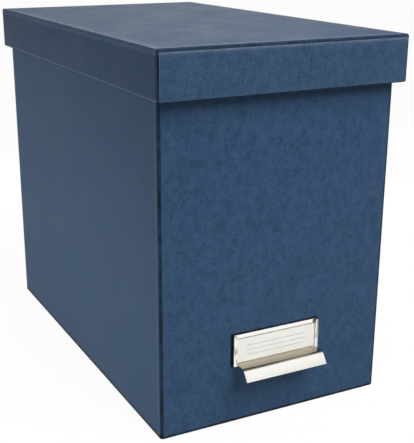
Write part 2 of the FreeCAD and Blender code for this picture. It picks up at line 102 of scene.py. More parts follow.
class Graph:
    """A node tree under construction, for shaders and for geometry."""

    def __init__(self, tree: bpy.types.NodeTree) -> None:
        """Starts from an empty tree.

        Args:
            tree: The tree to fill. Whatever it holds is removed.
        """
        tree.nodes.clear()
        self.tree = tree

    def feed(self, socket: bpy.types.NodeSocket, value: object) -> None:
        """Links a socket to another, or sets its own value.

        Args:
            socket: The input to feed.
            value: An output socket, or a plain value.
        """
        if isinstance(value, bpy.types.NodeSocket):
            self.tree.links.new(value, socket)
        else:
            socket.default_value = value

    def add(self, kind: str, *values: object, settings: dict[str, object] | None = None,
            **named: object) -> bpy.types.Node:
        """Adds a node.

        Args:
            kind: The node's type name.
            *values: What feeds its inputs in order. None leaves an input alone.
            settings: The node's own properties.
            **named: What feeds its inputs by name, with underscores for spaces.

        Returns:
            The new node.
        """
        node = self.tree.nodes.new(kind)
        for name, value in (settings or {}).items():
            setattr(node, name, value)
        for index, value in enumerate(values):
            if value is not None:
                self.feed(node.inputs[index], value)
        for name, value in named.items():
            self.feed(node.inputs[name.replace("_", " ")], value)
        return node

    def math(self, operation: str, *values: object) -> bpy.types.NodeSocket:
        """The result of one arithmetic step.

        Args:
            operation: The operation's name in the Math node.
            *values: Its operands, sockets or numbers.

        Returns:
            The result's socket.
        """
        return self.add("ShaderNodeMath", *values, settings={"operation": operation}).outputs[0]

    def object_coordinates(self, stretch: tuple[float, float, float] = (1.0, 1.0, 1.0)) -> bpy.types.NodeSocket:
        """The point on the object, stretched along each axis.

        Args:
            stretch: The factor on each axis.

        Returns:
            The coordinate socket.
        """
        place = self.add("ShaderNodeTexCoord").outputs["Object"]
        if stretch == (1.0, 1.0, 1.0):
            return place
        return self.add("ShaderNodeMapping", Vector=place, Scale=stretch).outputs[0]

    def noise(self, place: bpy.types.NodeSocket, grain: float, detail: float = 3.0,
              roughness: float = 0.5) -> bpy.types.NodeSocket:
        """A cloud pattern between 0 and 1.

        Args:
            place: The coordinates.
            grain: The size of its features in metres.
            detail: How many finer octaves it has.
            roughness: How strong those are.

        Returns:
            The pattern's socket.
        """
        node = self.add("ShaderNodeTexNoise", Vector=place, Scale=1 / grain, Detail=detail, Roughness=roughness)
        return node.outputs[0]

    def span(self, value: bpy.types.NodeSocket, low: float, high: float, new_low: float,
             new_high: float) -> bpy.types.NodeSocket:
        """A value carried from one range to another, held at both ends.

        Args:
            value: The value's socket.
            low: The value that becomes new_low.
            high: The value that becomes new_high.
            new_low: The result at low.
            new_high: The result at high.

        Returns:
            The result's socket.
        """
        node = self.add("ShaderNodeMapRange", value, low, high, new_low, new_high)
        return node.outputs[0]

    def blend(self, share: object, first: object, second: object, mode: str = "MIX") -> bpy.types.NodeSocket:
        """Two colours mixed.

        Args:
            share: How much of the second colour there is.
            first: The first colour, as a socket or as three numbers.
            second: The second colour, likewise.
            mode: The mixing mode.

        Returns:
            The colour's socket.
        """
        node = self.add("ShaderNodeMix", share, settings={"data_type": "RGBA", "blend_type": mode})
        for name, value in (("A_Color", first), ("B_Color", second)):
            socket = next(item for item in node.inputs if item.identifier == name)
            self.feed(socket, value if isinstance(value, bpy.types.NodeSocket) else (*value, 1.0))
        return next(item for item in node.outputs if item.identifier == "Result_Color")

    def scaled(self, colour: object, factor: bpy.types.NodeSocket) -> bpy.types.NodeSocket:
        """A colour times a factor.

        Args:
            colour: The colour, as a socket or as three numbers.
            factor: The factor's socket.

        Returns:
            The colour's socket.
        """
        node = self.add("ShaderNodeVectorMath", colour, settings={"operation": "SCALE"}, Scale=factor)
        return node.outputs[0]

    def bump(self, height: bpy.types.NodeSocket, depth: float, strength: float = 1.0) -> bpy.types.NodeSocket:
        """A normal that follows a height.

        Args:
            height: The height's socket, between 0 and 1.
            depth: The depth in metres that 1 stands for.
            strength: How much of it shows.

        Returns:
            The normal's socket.
        """
        return self.add("ShaderNodeBump", Height=height, Distance=depth, Strength=strength).outputs[0]


def linear(red: int, green: int, blue: int) -> Colour:
    """A display colour of 0 to 255 as scene light.

    Args:
        red: Its red.
        green: Its green.
        blue: Its blue.

    Returns:
        The same colour in linear light.
    """
    def channel(value: float) -> float:
        """One channel, from display to light."""
        return value / 12.92 if value <= 0.04045 else ((value + 0.055) / 1.055) ** 2.4

    return channel(red / 255), channel(green / 255), channel(blue / 255)


@dataclass(frozen=True)
class Finish:
    """A surface finish. Each kind builds its own material from its fields."""

    name: str

    def material(self) -> bpy.types.Material:
        """The finish's material, made once.

        Returns:
            The material.
        """
        name = f"{self.name}_finish"
        made = bpy.data.materials.get(name)
        if made is None:
            made = bpy.data.materials.new(name)
            made.use_nodes = True
            graph = Graph(made.node_tree)
            graph.add("ShaderNodeOutputMaterial", Surface=self.surface(graph))
        return made

    def surface(self, graph: Graph) -> bpy.types.NodeSocket:
        """The shader, which each kind of finish builds."""
        raise NotImplementedError


@dataclass(frozen=True)
class CoverPaper(Finish):
    """Dark blue paper with a fine mottle, with painted shade where it turns round a corner and painted
    highlights along creases and edges, from its tone attribute.
    """

    deep: Colour = (0.0, 0.0, 0.0)
    pale: Colour = (0.0, 0.0, 0.0)
    painted_highlight: Colour = (0.0, 0.0, 0.0)
    mottle_grain: float = 1.4 * MM
    blotch_grain: float = 4.2 * MM
    blotch_stretch: tuple[float, float, float] = (1.0, 1.0, 0.8)
    cloud_grain: float = 26.0 * MM
    pattern_shares: tuple[float, float, float] = (0.48, 0.36, 0.16)
    pattern_span: Point = (0.36, 0.64)
    cloud_span: Point = (0.35, 0.65)
    tone_noise_grain: float = 7.0 * MM
    tone_noise_spread: float = 0.25
    darkest_share: float = 0.04
    tooth_grain: float = 0.35 * MM
    relief: float = 0.05 * MM
    relief_shares: Point = (0.6, 0.4)
    roughness: float = 0.6
    roughness_spread: float = 0.07
    gloss: float = 0.15

    def surface(self, graph: Graph) -> bpy.types.NodeSocket:
        """The paper's shader.

        Args:
            graph: The material's tree.

        Returns:
            The shader's socket.
        """
        place = graph.object_coordinates()
        mottle = graph.noise(place, self.mottle_grain, 4.0, 0.62)
        clouds = graph.noise(place, self.cloud_grain, 3.0)
        tooth = graph.noise(place, self.tooth_grain, 2.0)
        blotches = graph.noise(graph.object_coordinates(self.blotch_stretch), self.blotch_grain, 2.0)
        share: object = 0.0
        for pattern, weight in zip((mottle, blotches, clouds), self.pattern_shares):
            share = graph.math("MULTIPLY_ADD", pattern, weight, share)
        colour = graph.blend(graph.span(share, *self.pattern_span, 0.0, 1.0), self.deep, self.pale)
        # The tone attribute is painted light: below 0 it is painted shade, above 0 painted highlight, made
        # uneven by noise
        tone = graph.add("ShaderNodeAttribute", settings={"attribute_name": "tone"}).outputs["Fac"]
        uneven = graph.span(graph.noise(place, self.tone_noise_grain, 3.0), *self.cloud_span,
                            1 - self.tone_noise_spread, 1 + self.tone_noise_spread)
        tone = graph.math("MULTIPLY", tone, uneven)
        # Painted shade scales the colour down; painted highlight blends it toward the pale highlight colour
        darker = graph.span(tone, DARKEST, 0.0, self.darkest_share, 1.0)
        colour = graph.blend(graph.span(tone, 0.0, 1.0, 0.0, 1.0), colour, self.painted_highlight)
        colour = graph.scaled(colour, darker)
        coarse, fine = self.relief_shares
        height = graph.math("ADD", graph.math("MULTIPLY", mottle, coarse), graph.math("MULTIPLY", tooth, fine))
        handled = graph.math("MULTIPLY", graph.math("ADD", clouds, blotches), 0.5)
        rough = graph.span(handled, *self.cloud_span, self.roughness - self.roughness_spread,
                           self.roughness + self.roughness_spread)
        shader = graph.add("ShaderNodeBsdfPrincipled", Base_Color=colour, Roughness=rough,
                           Normal=graph.bump(height, self.relief, 0.5))
        shader.inputs["Specular IOR Level"].default_value = self.gloss
        return shader.outputs[0]


@dataclass(frozen=True)
class Fibrous(Finish):
    """Board, card, tape or lining: a matt sheet with fibres along one axis."""

    base: Colour = (0.5, 0.5, 0.5)
    fleck: Colour = (0.3, 0.3, 0.3)
    fleck_share: float = 0.35
    fleck_span: Point = (0.48, 0.7)
    grain: float = 1.2 * MM
    stretch: tuple[float, float, float] = (1.0, 1.0, 4.0)
    cloud_grain: float = 18 * MM
    cloud_shades: tuple[float, float] = (0.94, 1.04)
    roughness: float = 0.8
    relief: float = 0.04 * MM

    def surface(self, graph: Graph) -> bpy.types.NodeSocket:
        """The sheet's shader.

        Args:
            graph: The material's tree.

        Returns:
            The shader's socket.
        """
        fibres = graph.noise(graph.object_coordinates(self.stretch), self.grain, 5.0, 0.6)
        clouds = graph.noise(graph.object_coordinates(), self.cloud_grain, 3.0)
        share = graph.math("MULTIPLY", graph.span(fibres, *self.fleck_span, 0.0, 1.0), self.fleck_share)
        colour = graph.blend(share, self.base, self.fleck)
        colour = graph.scaled(colour, graph.span(clouds, *NOISE_SPAN, *self.cloud_shades))
        shader = graph.add("ShaderNodeBsdfPrincipled", Base_Color=self.tint(graph, colour),
                           Normal=graph.bump(fibres, self.relief, 0.6))
        shader.inputs["Roughness"].default_value = self.roughness
        return shader.outputs[0]

    def tint(self, _graph: Graph, colour: bpy.types.NodeSocket) -> bpy.types.NodeSocket:
        """What is printed on the sheet, which is nothing unless a kind of sheet says so."""
        return colour


@dataclass(frozen=True)
class RuledCard(Fibrous):
    """White card with a few thin printed rules along X."""

    rule: Colour = (0.5, 0.5, 0.5)
    lowest: float = 52.2 * MM
    pitch: float = 3.6 * MM
    count: int = 3
    half_width: float = 0.16 * MM
    soft_share: float = 0.4
    half_length: float = 24.0 * MM

    def tint(self, graph: Graph, colour: bpy.types.NodeSocket) -> bpy.types.NodeSocket:
        """The card's colour with the rules printed on it.

        Args:
            graph: The material's tree.
            colour: The bare card's colour.

        Returns:
            The colour's socket.
        """
        place = graph.add("ShaderNodeSeparateXYZ", graph.object_coordinates()).outputs
        line = graph.math("DIVIDE", graph.math("SUBTRACT", place["Z"], self.lowest), self.pitch)
        nearest = graph.math("MINIMUM", graph.math("MAXIMUM", graph.math("ROUND", line), 0.0), self.count - 1.0)
        off = graph.math("MULTIPLY", graph.math("ABSOLUTE", graph.math("SUBTRACT", line, nearest)), self.pitch)
        inked = graph.span(off, self.half_width * (1 - self.soft_share),
                           self.half_width * (1 + self.soft_share), 1.0, 0.0)
        reach = graph.math("LESS_THAN", graph.math("ABSOLUTE", place["X"]), self.half_length)
        return graph.blend(graph.math("MULTIPLY", inked, reach), colour, self.rule)


@dataclass(frozen=True)
class Metal(Finish):
    """Plated sheet steel, brushed along one axis."""

    base: Colour = (0.8, 0.8, 0.8)
    roughness: float = 0.3
    brush_grain: float = 0.22 * MM
    brush_stretch: tuple[float, float, float] = (0.03, 1.0, 1.0)
    brush_contrast: float = 0.04
    brush_brightest: float = 1.02
    brush_roughness: float = 0.03
    smudge_grain: float = 9 * MM
    smudge_span: Point = (0.35, 0.7)
    smudge_roughness: tuple[float, float] = (-0.02, 0.03)
    relief: float = 0.006 * MM

    def surface(self, graph: Graph) -> bpy.types.NodeSocket:
        """The metal's shader.

        Args:
            graph: The material's tree.

        Returns:
            The shader's socket.
        """
        brushing = graph.noise(graph.object_coordinates(self.brush_stretch), self.brush_grain, 3.0, 0.6)
        smudges = graph.noise(graph.object_coordinates(), self.smudge_grain, 3.0)
        shade = graph.span(brushing, *NOISE_SPAN, self.brush_brightest - self.brush_contrast,
                           self.brush_brightest)
        colour = graph.scaled(self.plating(graph), shade)
        smooth, dull = [self.roughness + change for change in self.smudge_roughness]
        brushed = graph.span(brushing, *NOISE_SPAN, -self.brush_roughness, self.brush_roughness)
        rough = graph.math("ADD", brushed, graph.span(smudges, *self.smudge_span, smooth, dull))
        shader = graph.add("ShaderNodeBsdfPrincipled", Base_Color=colour, Roughness=rough,
                           Normal=graph.bump(brushing, self.relief, 0.5))
        shader.inputs["Metallic"].default_value = 1.0
        return shader.outputs[0]

    def plating(self, _graph: Graph) -> object:
        """The plating's colour, the same all over unless a kind of metal says otherwise."""
        return self.base


@dataclass(frozen=True)
class ReflectionPaintedMetal(Metal):
    """Plated steel with a painted reflection on the faces that look up: dull brown on the lip's shelf, darkest
    along its crest.
    """

    # The colours of the painted reflection at the back of the shelf and at its crest
    dull: Colour = (0.5, 0.5, 0.5)
    crest_reflection: Colour = (0.3, 0.3, 0.3)
    shelf_back: float = -160.0 * MM
    shelf_front: float = -169.5 * MM
    crest_falloff: float = 2.0
    facing_up: tuple[float, float] = (0.66, 0.88)

    def plating(self, graph: Graph) -> bpy.types.NodeSocket:
        """The plating's colour over the piece, with the painted reflection blended in where the faces look up.

        Args:
            graph: The material's tree.

        Returns:
            The colour's socket.
        """
        facing = graph.add("ShaderNodeNewGeometry").outputs["Normal"]
        upwards = graph.add("ShaderNodeSeparateXYZ", facing).outputs["Z"]
        depth = graph.add("ShaderNodeSeparateXYZ", graph.object_coordinates()).outputs["Y"]
        forward = graph.span(depth, self.shelf_front, self.shelf_back, 1.0, 0.0)
        # Painted reflection on the up-facing shelf, darkening toward the crest
        shelf_reflection = graph.blend(graph.math("POWER", forward, self.crest_falloff), self.dull, self.crest_reflection)
        return graph.blend(graph.span(upwards, *self.facing_up, 0.0, 1.0), self.base, shelf_reflection)


@dataclass(frozen=True)
class ClearPlastic(Finish):
    """Clear moulded plastic with faint flow marks."""

    tint: Colour = (0.95, 0.97, 0.98)
    flow_grain: float = 6 * MM
    flow_stretch: tuple[float, float, float] = (1.0, 0.3, 1.0)
    relief: float = 0.05 * MM
    roughness: Point = (0.06, 0.14)
    refraction: float = 1.49
    clearness: float = 0.9

    def surface(self, graph: Graph) -> bpy.types.NodeSocket:
        """The plastic's shader.

        Args:
            graph: The material's tree.

        Returns:
            The shader's socket.
        """
        flow = graph.noise(graph.object_coordinates(self.flow_stretch), self.flow_grain, 2.0)
        shader = graph.add("ShaderNodeBsdfPrincipled", Roughness=graph.span(flow, *NOISE_SPAN, *self.roughness),
                           Normal=graph.bump(flow, self.relief, 0.3))
        shader.inputs["Base Color"].default_value = (*self.tint, 1.0)
        shader.inputs["IOR"].default_value = self.refraction
        shader.inputs["Transmission Weight"].default_value = self.clearness
        return shader.outputs[0]


# The cover's third colour is the painted highlight that the tone attribute blends toward
COVER = CoverPaper("cover_paper", deep=linear(35, 59, 86), pale=linear(57, 82, 109), painted_highlight=linear(150, 162, 180))
BOARD = Fibrous("fibreboard", base=linear(150, 138, 120), fleck=linear(96, 86, 72))
TAPE = Fibrous("stay_tape", base=linear(196, 164, 120), fleck=linear(150, 118, 80), stretch=(1.0, 1.0, 0.2))
LINING = Fibrous("lining_paper", base=linear(226, 221, 209), fleck=linear(203, 196, 180), fleck_share=0.3)
UNDERSIDE = Fibrous("underside_paper", base=linear(40, 45, 54), fleck=linear(62, 66, 74))
NICKEL = Metal("satin_nickel", base=linear(246, 242, 231), roughness=0.25)
# The holder's lip carries a painted reflection in its dull and crest colours
PRESSED_NICKEL = ReflectionPaintedMetal("reflection_painted_nickel", base=linear(254, 252, 246), roughness=0.25,
                              dull=linear(196, 187, 169), crest_reflection=linear(166, 153, 136))
ZINC = Metal("zinc_plate", base=linear(205, 206, 205), roughness=0.38)
ROD_STEEL = Metal("bright_steel", base=linear(198, 200, 202), roughness=0.3, brush_stretch=(1.0, 0.03, 1.0))
CARD = RuledCard("label_card", base=linear(233, 233, 227), fleck=linear(221, 221, 214), fleck_share=0.25,
                 rule=linear(158, 160, 163))
PRESSBOARD = Fibrous("folder_card", base=linear(96, 116, 104), fleck=linear(66, 82, 74), fleck_share=0.5)
INSERT = Fibrous("insert_paper", base=linear(243, 243, 238), fleck=linear(228, 228, 222), fleck_share=0.2)
CLEAR = ClearPlastic("tab_plastic")


def in_millimetres(node: str) -> tuple[Vector, Vector]:
    """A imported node's lowest and highest corners in millimetres.

    Args:
        node: The node's name.

    Returns:
        Both corners.
    """
    low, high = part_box(node)
    return low / MM, high / MM


def arc(centre: Point, radius: float, start: float, end: float, steps: int) -> list[Point]:
    """Points along an arc.

    Args:
        centre: Its centre.
        radius: Its radius.
        start: The start angle in degrees.
        end: The end angle in degrees.
        steps: How many pieces it is cut into.

    Returns:
        The points, both ends included.
    """
    angles = [math.radians(start + (end - start) * step / steps) for step in range(steps + 1)]
    return [(centre[0] + radius * math.cos(angle), centre[1] + radius * math.sin(angle)) for angle in angles]


def metres(lengths: Iterable[float]) -> list[float]:
    """Millimetres as metres."""
    return [length * MM for length in lengths]


def new_object(name: str, data: bpy.types.ID) -> bpy.types.Object:
    """An object linked to the scene.

    Args:
        name: Its name.
        data: Its mesh, lamp or camera.

    Returns:
        The object.
    """
    made = bpy.data.objects.new(name, data)
    bpy.context.scene.collection.objects.link(made)
    return made


def draw_line(name: str, points: Sequence[Point], closed: bool) -> bpy.types.Object:
    """A line of points on the floor, for a recipe to work on.

    Args:
        name: The piece's name.
        points: Its points in millimetres.
        closed: Whether the line is a loop.

    Returns:
        The object.
    """
    count = len(points)
    edges = [(index, (index + 1) % count) for index in range(count if closed else count - 1)]
    mesh = bpy.data.meshes.new(name)
    mesh.from_pydata([metres((*point, 0.0)) for point in points], edges, [])
    return new_object(name, mesh)


def make_piece(name: str, vertices: Iterable[Sequence[float]], faces: Iterable[Sequence[int]], finish: Finish,
               tone: Sequence[float] | None = None) -> bpy.types.Object:
    """A mesh object in place, from millimetre points.

    Args:
        name: The piece's name.
        vertices: Its points in millimetres.
        faces: Its faces, which point outwards.
        finish: Its finish.
        tone: How much darker (down to DARKEST) or lighter (up to 1) the paper is at each point, as painted
            shade and painted highlight.

    Returns:
        The object, linked to the scene.
    """
    mesh = bpy.data.meshes.new(name)
    mesh.from_pydata([metres(vertex) for vertex in vertices], [], [list(face) for face in faces])
    if tone is not None:
        mesh.attributes.new("tone", "FLOAT", "POINT").data.foreach_set("value", list(tone))
    mesh.materials.append(finish.material())
    mesh.polygons.foreach_set("use_smooth", [True] * len(mesh.polygons))
    return new_object(name, mesh)


def merge_points(piece: bpy.types.Object, distance: float) -> None:
    """Joins points that lie together, and drops the faces that this closes up.

    Args:
        piece: The object.
        distance: How close they lie, in millimetres.
    """
    shape = bmesh.new()
    shape.from_mesh(piece.data)
    bmesh.ops.remove_doubles(shape, verts=shape.verts, dist=distance * MM)
    bmesh.ops.dissolve_degenerate(shape, edges=shape.edges, dist=distance * MM)
    shape.to_mesh(piece.data)
    shape.free()


def thicken(piece: bpy.types.Object, thickness: float, bevel: float, bevel_steps: int = 2) -> None:
    """Gives a single surface its thickness, inwards, and softens its cut edges.

    Args:
        piece: The object.
        thickness: The sheet's thickness in millimetres.
        bevel: The width of the softened edge in millimetres.
        bevel_steps: How many facets that edge has.
    """
    wall = piece.modifiers.new("thickness", "SOLIDIFY")
    wall.thickness = thickness * MM
    wall.offset = -1.0
    wall.use_even_offset = True
    soften(piece, bevel, bevel_steps)


def soften(piece: bpy.types.Object, bevel: float, steps: int = 2) -> None:
    """Softens a piece's sharp edges.

    Args:
        piece: The object.
        bevel: The width of the softened edge in millimetres.
        steps: How many facets it has.
    """
    edge = piece.modifiers.new("soft_edge", "BEVEL")
    edge.width = bevel * MM
    edge.segments = steps
    edge.limit_method = "ANGLE"
    edge.angle_limit = SHARP_EDGE
    edge.harden_normals = True


def settle(piece: bpy.types.Object) -> None:
    """Turns a piece's modifiers into plain mesh of one finish.

    Args:
        piece: The object.
    """
    view = bpy.context.evaluated_depsgraph_get()
    view.update()
    finished = bpy.data.meshes.new_from_object(piece.evaluated_get(view))
    finish = next(material for material in finished.materials if material)
    finished.materials.clear()
    finished.materials.append(finish)
    finished.polygons.foreach_set("material_index", [0] * len(finished.polygons))
    piece.modifiers.clear()
    piece.data = finished


def softened_copy(name: str, node: str, finish: Finish, widest: float,
                  share: Callable[[Vector, Vector], float]) -> bpy.types.Object:
    """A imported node's own shape with its edges rounded.

    Args:
        name: The piece's name.
        node: The node that it copies.
        finish: Its finish.
        widest: The widest rounding in millimetres.
        share: How much of that an edge gets, from its two ends in millimetres.

    Returns:
        The piece.
    """
    shape = bmesh.new()
    shape.from_mesh(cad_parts[node].data)
    bmesh.ops.remove_doubles(shape, verts=shape.verts, dist=WELD * MM)
    bmesh.ops.dissolve_limit(shape, angle_limit=FLAT, verts=shape.verts, edges=shape.edges)
    weight = shape.edges.layers.float.new("bevel_weight_edge")
    for edge in shape.edges:
        if edge.calc_face_angle(0.0) > SHARP_EDGE:
            edge[weight] = share(edge.verts[0].co / MM, edge.verts[1].co / MM)
    mesh = bpy.data.meshes.new(name)
    shape.to_mesh(mesh)
    shape.free()
    mesh.materials.clear()
    mesh.materials.append(finish.material())
    mesh.polygons.foreach_set("use_smooth", [True] * len(mesh.polygons))
    piece = new_object(name, mesh)
    soften(piece, widest, 3)
    piece.modifiers[-1].limit_method = "WEIGHT"
    settle(piece)
    merge_points(piece, ROUNDED_WELD)
    piece.modifiers.new("flat_faces", "WEIGHTED_NORMAL").weight = 100
    settle(piece)
    return piece


class Recipe:
    """A Geometry Nodes tree with named inputs, which each kind of recipe builds once."""

    def __init__(self, name: str, inputs: dict[str, str]) -> None:
        """Starts the tree with its inputs.

        Args:
            name: The tree's name.
            inputs: The type of each input, by its name.
        """
        self.tree = bpy.data.node_groups.new(name, "GeometryNodeTree")
        self.graph = Graph(self.tree)
        sockets = self.tree.interface
        sockets.new_socket("Geometry", in_out="OUTPUT", socket_type="NodeSocketGeometry")
        for label, kind in {"Geometry": "Geometry", **inputs, "Finish": "Material"}.items():
            sockets.new_socket(label, in_out="INPUT", socket_type=f"NodeSocket{kind}")
        self.given = self.graph.add("NodeGroupInput").outputs

    def close(self, geometry: bpy.types.NodeSocket) -> None:
        """Ends the tree: real geometry, smooth, in its finish.

        Args:
            geometry: What the tree has made.
        """
        real = self.graph.add("GeometryNodeRealizeInstances", geometry).outputs[0]
        smooth = self.graph.add("GeometryNodeSetShadeSmooth", Geometry=real).outputs[0]
        dressed = self.graph.add("GeometryNodeSetMaterial", Geometry=smooth, Material=self.given["Finish"])
        self.graph.add("NodeGroupOutput", dressed.outputs[0])

    def welded(self, geometry: bpy.types.NodeSocket) -> bpy.types.NodeSocket:
        """The geometry with the points that lie together joined."""
        return self.graph.add("GeometryNodeMergeByDistance", Geometry=geometry, Distance=WELD * MM).outputs[0]

    def row(self, geometry: bpy.types.NodeSocket, turn: object = (0.0, 0.0, 0.0)) -> bpy.types.NodeSocket:
        """A shape at each point of the row that the inputs Count, Start and Step give.

        Args:
            geometry: The shape.
            turn: How it is turned.

        Returns:
            The row's socket.
        """
        points = self.graph.add("GeometryNodeMeshLine", Count=self.given["Count"],
                                Start_Location=self.given["Start"], Offset=self.given["Step"]).outputs[0]
        placed = self.graph.add("GeometryNodeInstanceOnPoints", Points=points, Instance=geometry, Rotation=turn)
        return self.graph.add("GeometryNodeRealizeInstances", placed.outputs[0]).outputs[0]

    def apply(self, piece: bpy.types.Object, finish: Finish, **values: object) -> None:
        """Adds the recipe to a piece as a modifier.

        Args:
            piece: The piece.
            finish: Its finish.
            **values: The inputs by name, in metres and radians.
        """
        step = piece.modifiers.new(self.tree.name, "NODES")
        step.node_group = self.tree
        values["Finish"] = finish.material()
        for socket in self.tree.interface.items_tree:
            if socket.in_out == "INPUT" and socket.name in values:
                step[socket.identifier] = values[socket.name]


class Section(Recipe):
    """An outline whose corners are bent to a radius, filled and given a length both ways from its plane."""

    def __init__(self, steps: int = 6) -> None:
        """Builds the tree.

        Args:
            steps: How many facets each bend has.
        """
        super().__init__("section", {"Length": "Float", "Turn": "Vector", "Place": "Vector"})
        graph, length = self.graph, self.given["Length"]
        line = graph.add("GeometryNodeMeshToCurve", self.given["Geometry"]).outputs[0]
        bend = graph.add("GeometryNodeInputNamedAttribute", "bend").outputs["Attribute"]
        bent = graph.add("GeometryNodeFilletCurve", Curve=line, Count=steps, Radius=bend, Limit_Radius=True,
                         settings={"mode": "POLY"}).outputs[0]
        face = graph.add("GeometryNodeFillCurve", bent, settings={"mode": "NGONS"}).outputs[0]
        along = graph.add("ShaderNodeCombineXYZ", 0.0, 0.0, 1.0).outputs[0]
        body = graph.add("GeometryNodeExtrudeMesh", Mesh=face, Offset=along, Offset_Scale=length,
                         Individual=False)
        back = graph.add("GeometryNodeFlipFaces", face).outputs[0]
        whole = graph.add("GeometryNodeJoinGeometry", back)
        graph.tree.links.new(body.outputs[0], whole.inputs[0])
        middle = graph.add("ShaderNodeCombineXYZ", 0.0, 0.0, graph.math("MULTIPLY", length, -0.5)).outputs[0]
        centred = graph.add("GeometryNodeTransform", Geometry=self.welded(whole.outputs[0]), Translation=middle)
        self.close(graph.add("GeometryNodeTransform", Geometry=centred.outputs[0], Rotation=self.given["Turn"],
                             Translation=self.given["Place"]).outputs[0])

    def build(self, name: str, corners: Sequence[tuple[float, float, float]], plane: Plane, length: float,
              place: Sequence[float], finish: Finish, edge: float) -> bpy.types.Object:
        """A piece of one section, its modifiers still live.

        Args:
            name: The piece's name.
            corners: The outline's corners in millimetres, each with its bend's radius.
            plane: The plane of the outline.
            length: The piece's length across that plane, in millimetres.
            place: Where the outline's origin goes, in millimetres.
            finish: Its finish.
            edge: The width of its softened edges in millimetres.

        Returns:
            The piece.
        """
        piece = draw_line(name, [(across, up) for across, up, _ in corners], True)
        bends = piece.data.attributes.new("bend", "FLOAT", "POINT")
        bends.data.foreach_set("value", metres(bend for _, _, bend in corners))
        self.apply(piece, finish, Length=length * MM, Turn=plane.turn(), Place=metres(place))
        soften(piece, edge)
        return piece


class SlotRow(Recipe):
    """A row of square slots cut out of a piece."""

    def __init__(self) -> None:
        """Builds the tree."""
        super().__init__("slot_row", {"Size": "Vector", "Count": "Int", "Start": "Vector", "Step": "Vector"})
        slot = self.graph.add("GeometryNodeMeshCube", Size=self.given["Size"]).outputs[0]
        cut = self.graph.add("GeometryNodeMeshBoolean", settings={"operation": "DIFFERENCE", "solver": "EXACT"})
        self.graph.tree.links.new(self.given["Geometry"], cut.inputs["Mesh 1"])
        self.graph.tree.links.new(self.row(slot), cut.inputs["Mesh 2"])
        self.close(cut.outputs[0])


class LatheRow(Recipe):
    """A profile turned round an axis, and repeated in a row."""

    def __init__(self, sides: int = 40) -> None:
        """Builds the tree.

        Args:
            sides: How many facets a turn has.
        """
        super().__init__("lathe_row", {"Count": "Int", "Start": "Vector", "Step": "Vector", "Turn": "Vector"})
        graph = self.graph
        profile = graph.add("GeometryNodeMeshToCurve", self.given["Geometry"]).outputs[0]
        axis = graph.add("GeometryNodeCurvePrimitiveCircle", Resolution=sides, Radius=1e-7).outputs[0]
        turned = graph.add("GeometryNodeCurveToMesh", Curve=axis, Profile_Curve=profile).outputs[0]
        self.close(self.row(self.welded(turned), self.given["Turn"]))

    def build(self, name: str, profile: Sequence[Point], closed: bool, count: int, start: Sequence[float],
              step: Sequence[float], finish: Finish) -> bpy.types.Object:
        """A row of turned parts whose axes point out of the front.

        Args:
            name: The piece's name.
            profile: Points of radius and height along the axis, in millimetres.
            closed: Whether the profile is a loop, as on a washer.
            count: How many parts there are.
            start: Where the first one is, in millimetres.
            step: From one to the next, in millimetres.
            finish: Its finish.

        Returns:
            The piece.
        """
        piece = draw_line(name, [(radius, -height) for radius, height in profile], closed)
        self.apply(piece, finish, Count=count, Start=metres(start), Step=metres(step), Turn=Plane.XZ.turn())
        settle(piece)
        return piece


def mount(piece: bpy.types.Object, body: str, slot: str, *nodes: str) -> bpy.types.Object:
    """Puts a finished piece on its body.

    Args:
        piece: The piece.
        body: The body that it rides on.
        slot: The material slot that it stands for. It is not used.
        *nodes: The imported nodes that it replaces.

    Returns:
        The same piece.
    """
    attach(piece, body)
    if nodes:
        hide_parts(*nodes)
    return piece


@dataclass
class Perimeter:
    """The rounded rectangle that the walls stand on, and the rings inside it."""

    half_width: float
    half_length: float
    radius: float
    # The painted shade round each corner arc
    corner_tones: Sequence[float]
    least_radius: float = 0.2
    corner_steps: int = 8
    end_stops: tuple[float, ...] = ()
    # A painted highlight where each long side meets a corner, fading over a crease's width
    crease_width: float = 3.0
    crease_tone: float = 0.12
    # Painted shade on the ends beside the corners
    end_tone: float = -1.0

    def ring(self, inset: float) -> list[Point]:
        """The closed ring at one distance inside the outer face, from the front's left end, counterclockwise.

        Args:
            inset: The distance in millimetres.

        Returns:
            Its points. Every ring has as many.
        """
        radius = max(self.radius - inset, self.least_radius)
        across, along = self.half_width - inset - radius, self.half_length - inset - radius
        stops = [-across, *[max(-across, min(across, stop)) for stop in self.end_stops], across]
        points: list[Point] = [(x, -along - radius) for x in stops]
        points += arc((across, -along), radius, -90, 0, self.corner_steps)[1:-1]
        points += self.side(across + radius, along, 1)
        points += arc((across, along), radius, 0, 90, self.corner_steps)[1:-1]
        points += [(-x, along + radius) for x in stops]
        points += arc((-across, along), radius, 90, 180, self.corner_steps)[1:-1]
        points += self.side(-across - radius, along, -1)
        points += arc((-across, -along), radius, 180, 270, self.corner_steps)[1:-1]
        return points

    def side(self, x: float, along: float, direction: int) -> list[Point]:
        """A long side's points: its ends, and a crease's width inside each.

        Args:
            x: Where the side lies.
            along: How far its straight stretch reaches from the middle.
            direction: 1 if it runs towards +Y.

        Returns:
            The side's four points.
        """
        near = along - self.crease_width
        return [(x, -direction * along), (x, -direction * near), (x, direction * near), (x, direction * along)]

    def ring_tones(self) -> list[float]:
        """How dark or light the wrapped paper is round a ring, as painted shade and painted highlight.

        Returns:
            A tone for each point of a ring.
        """
        end = [self.end_tone] * (len(self.end_stops) + 2)
        side = [self.crease_tone, 0.0, 0.0, self.crease_tone]
        return [*end, *self.corner_tones, *side, *reversed(self.corner_tones)] * 2


def toned(points: Iterable[Point], tone: float, share: float) -> list[Station]:
    """Stations of a wrap that have one tone: inset, height, tone, and their share of the ring's own tones.

    Args:
        points: Their insets and heights.
        tone: Their tone all round.
        share: How much of the ring's own tones they have too.

    Returns:
        The stations.
    """
    return [(inset, height, tone, share) for inset, height in points]


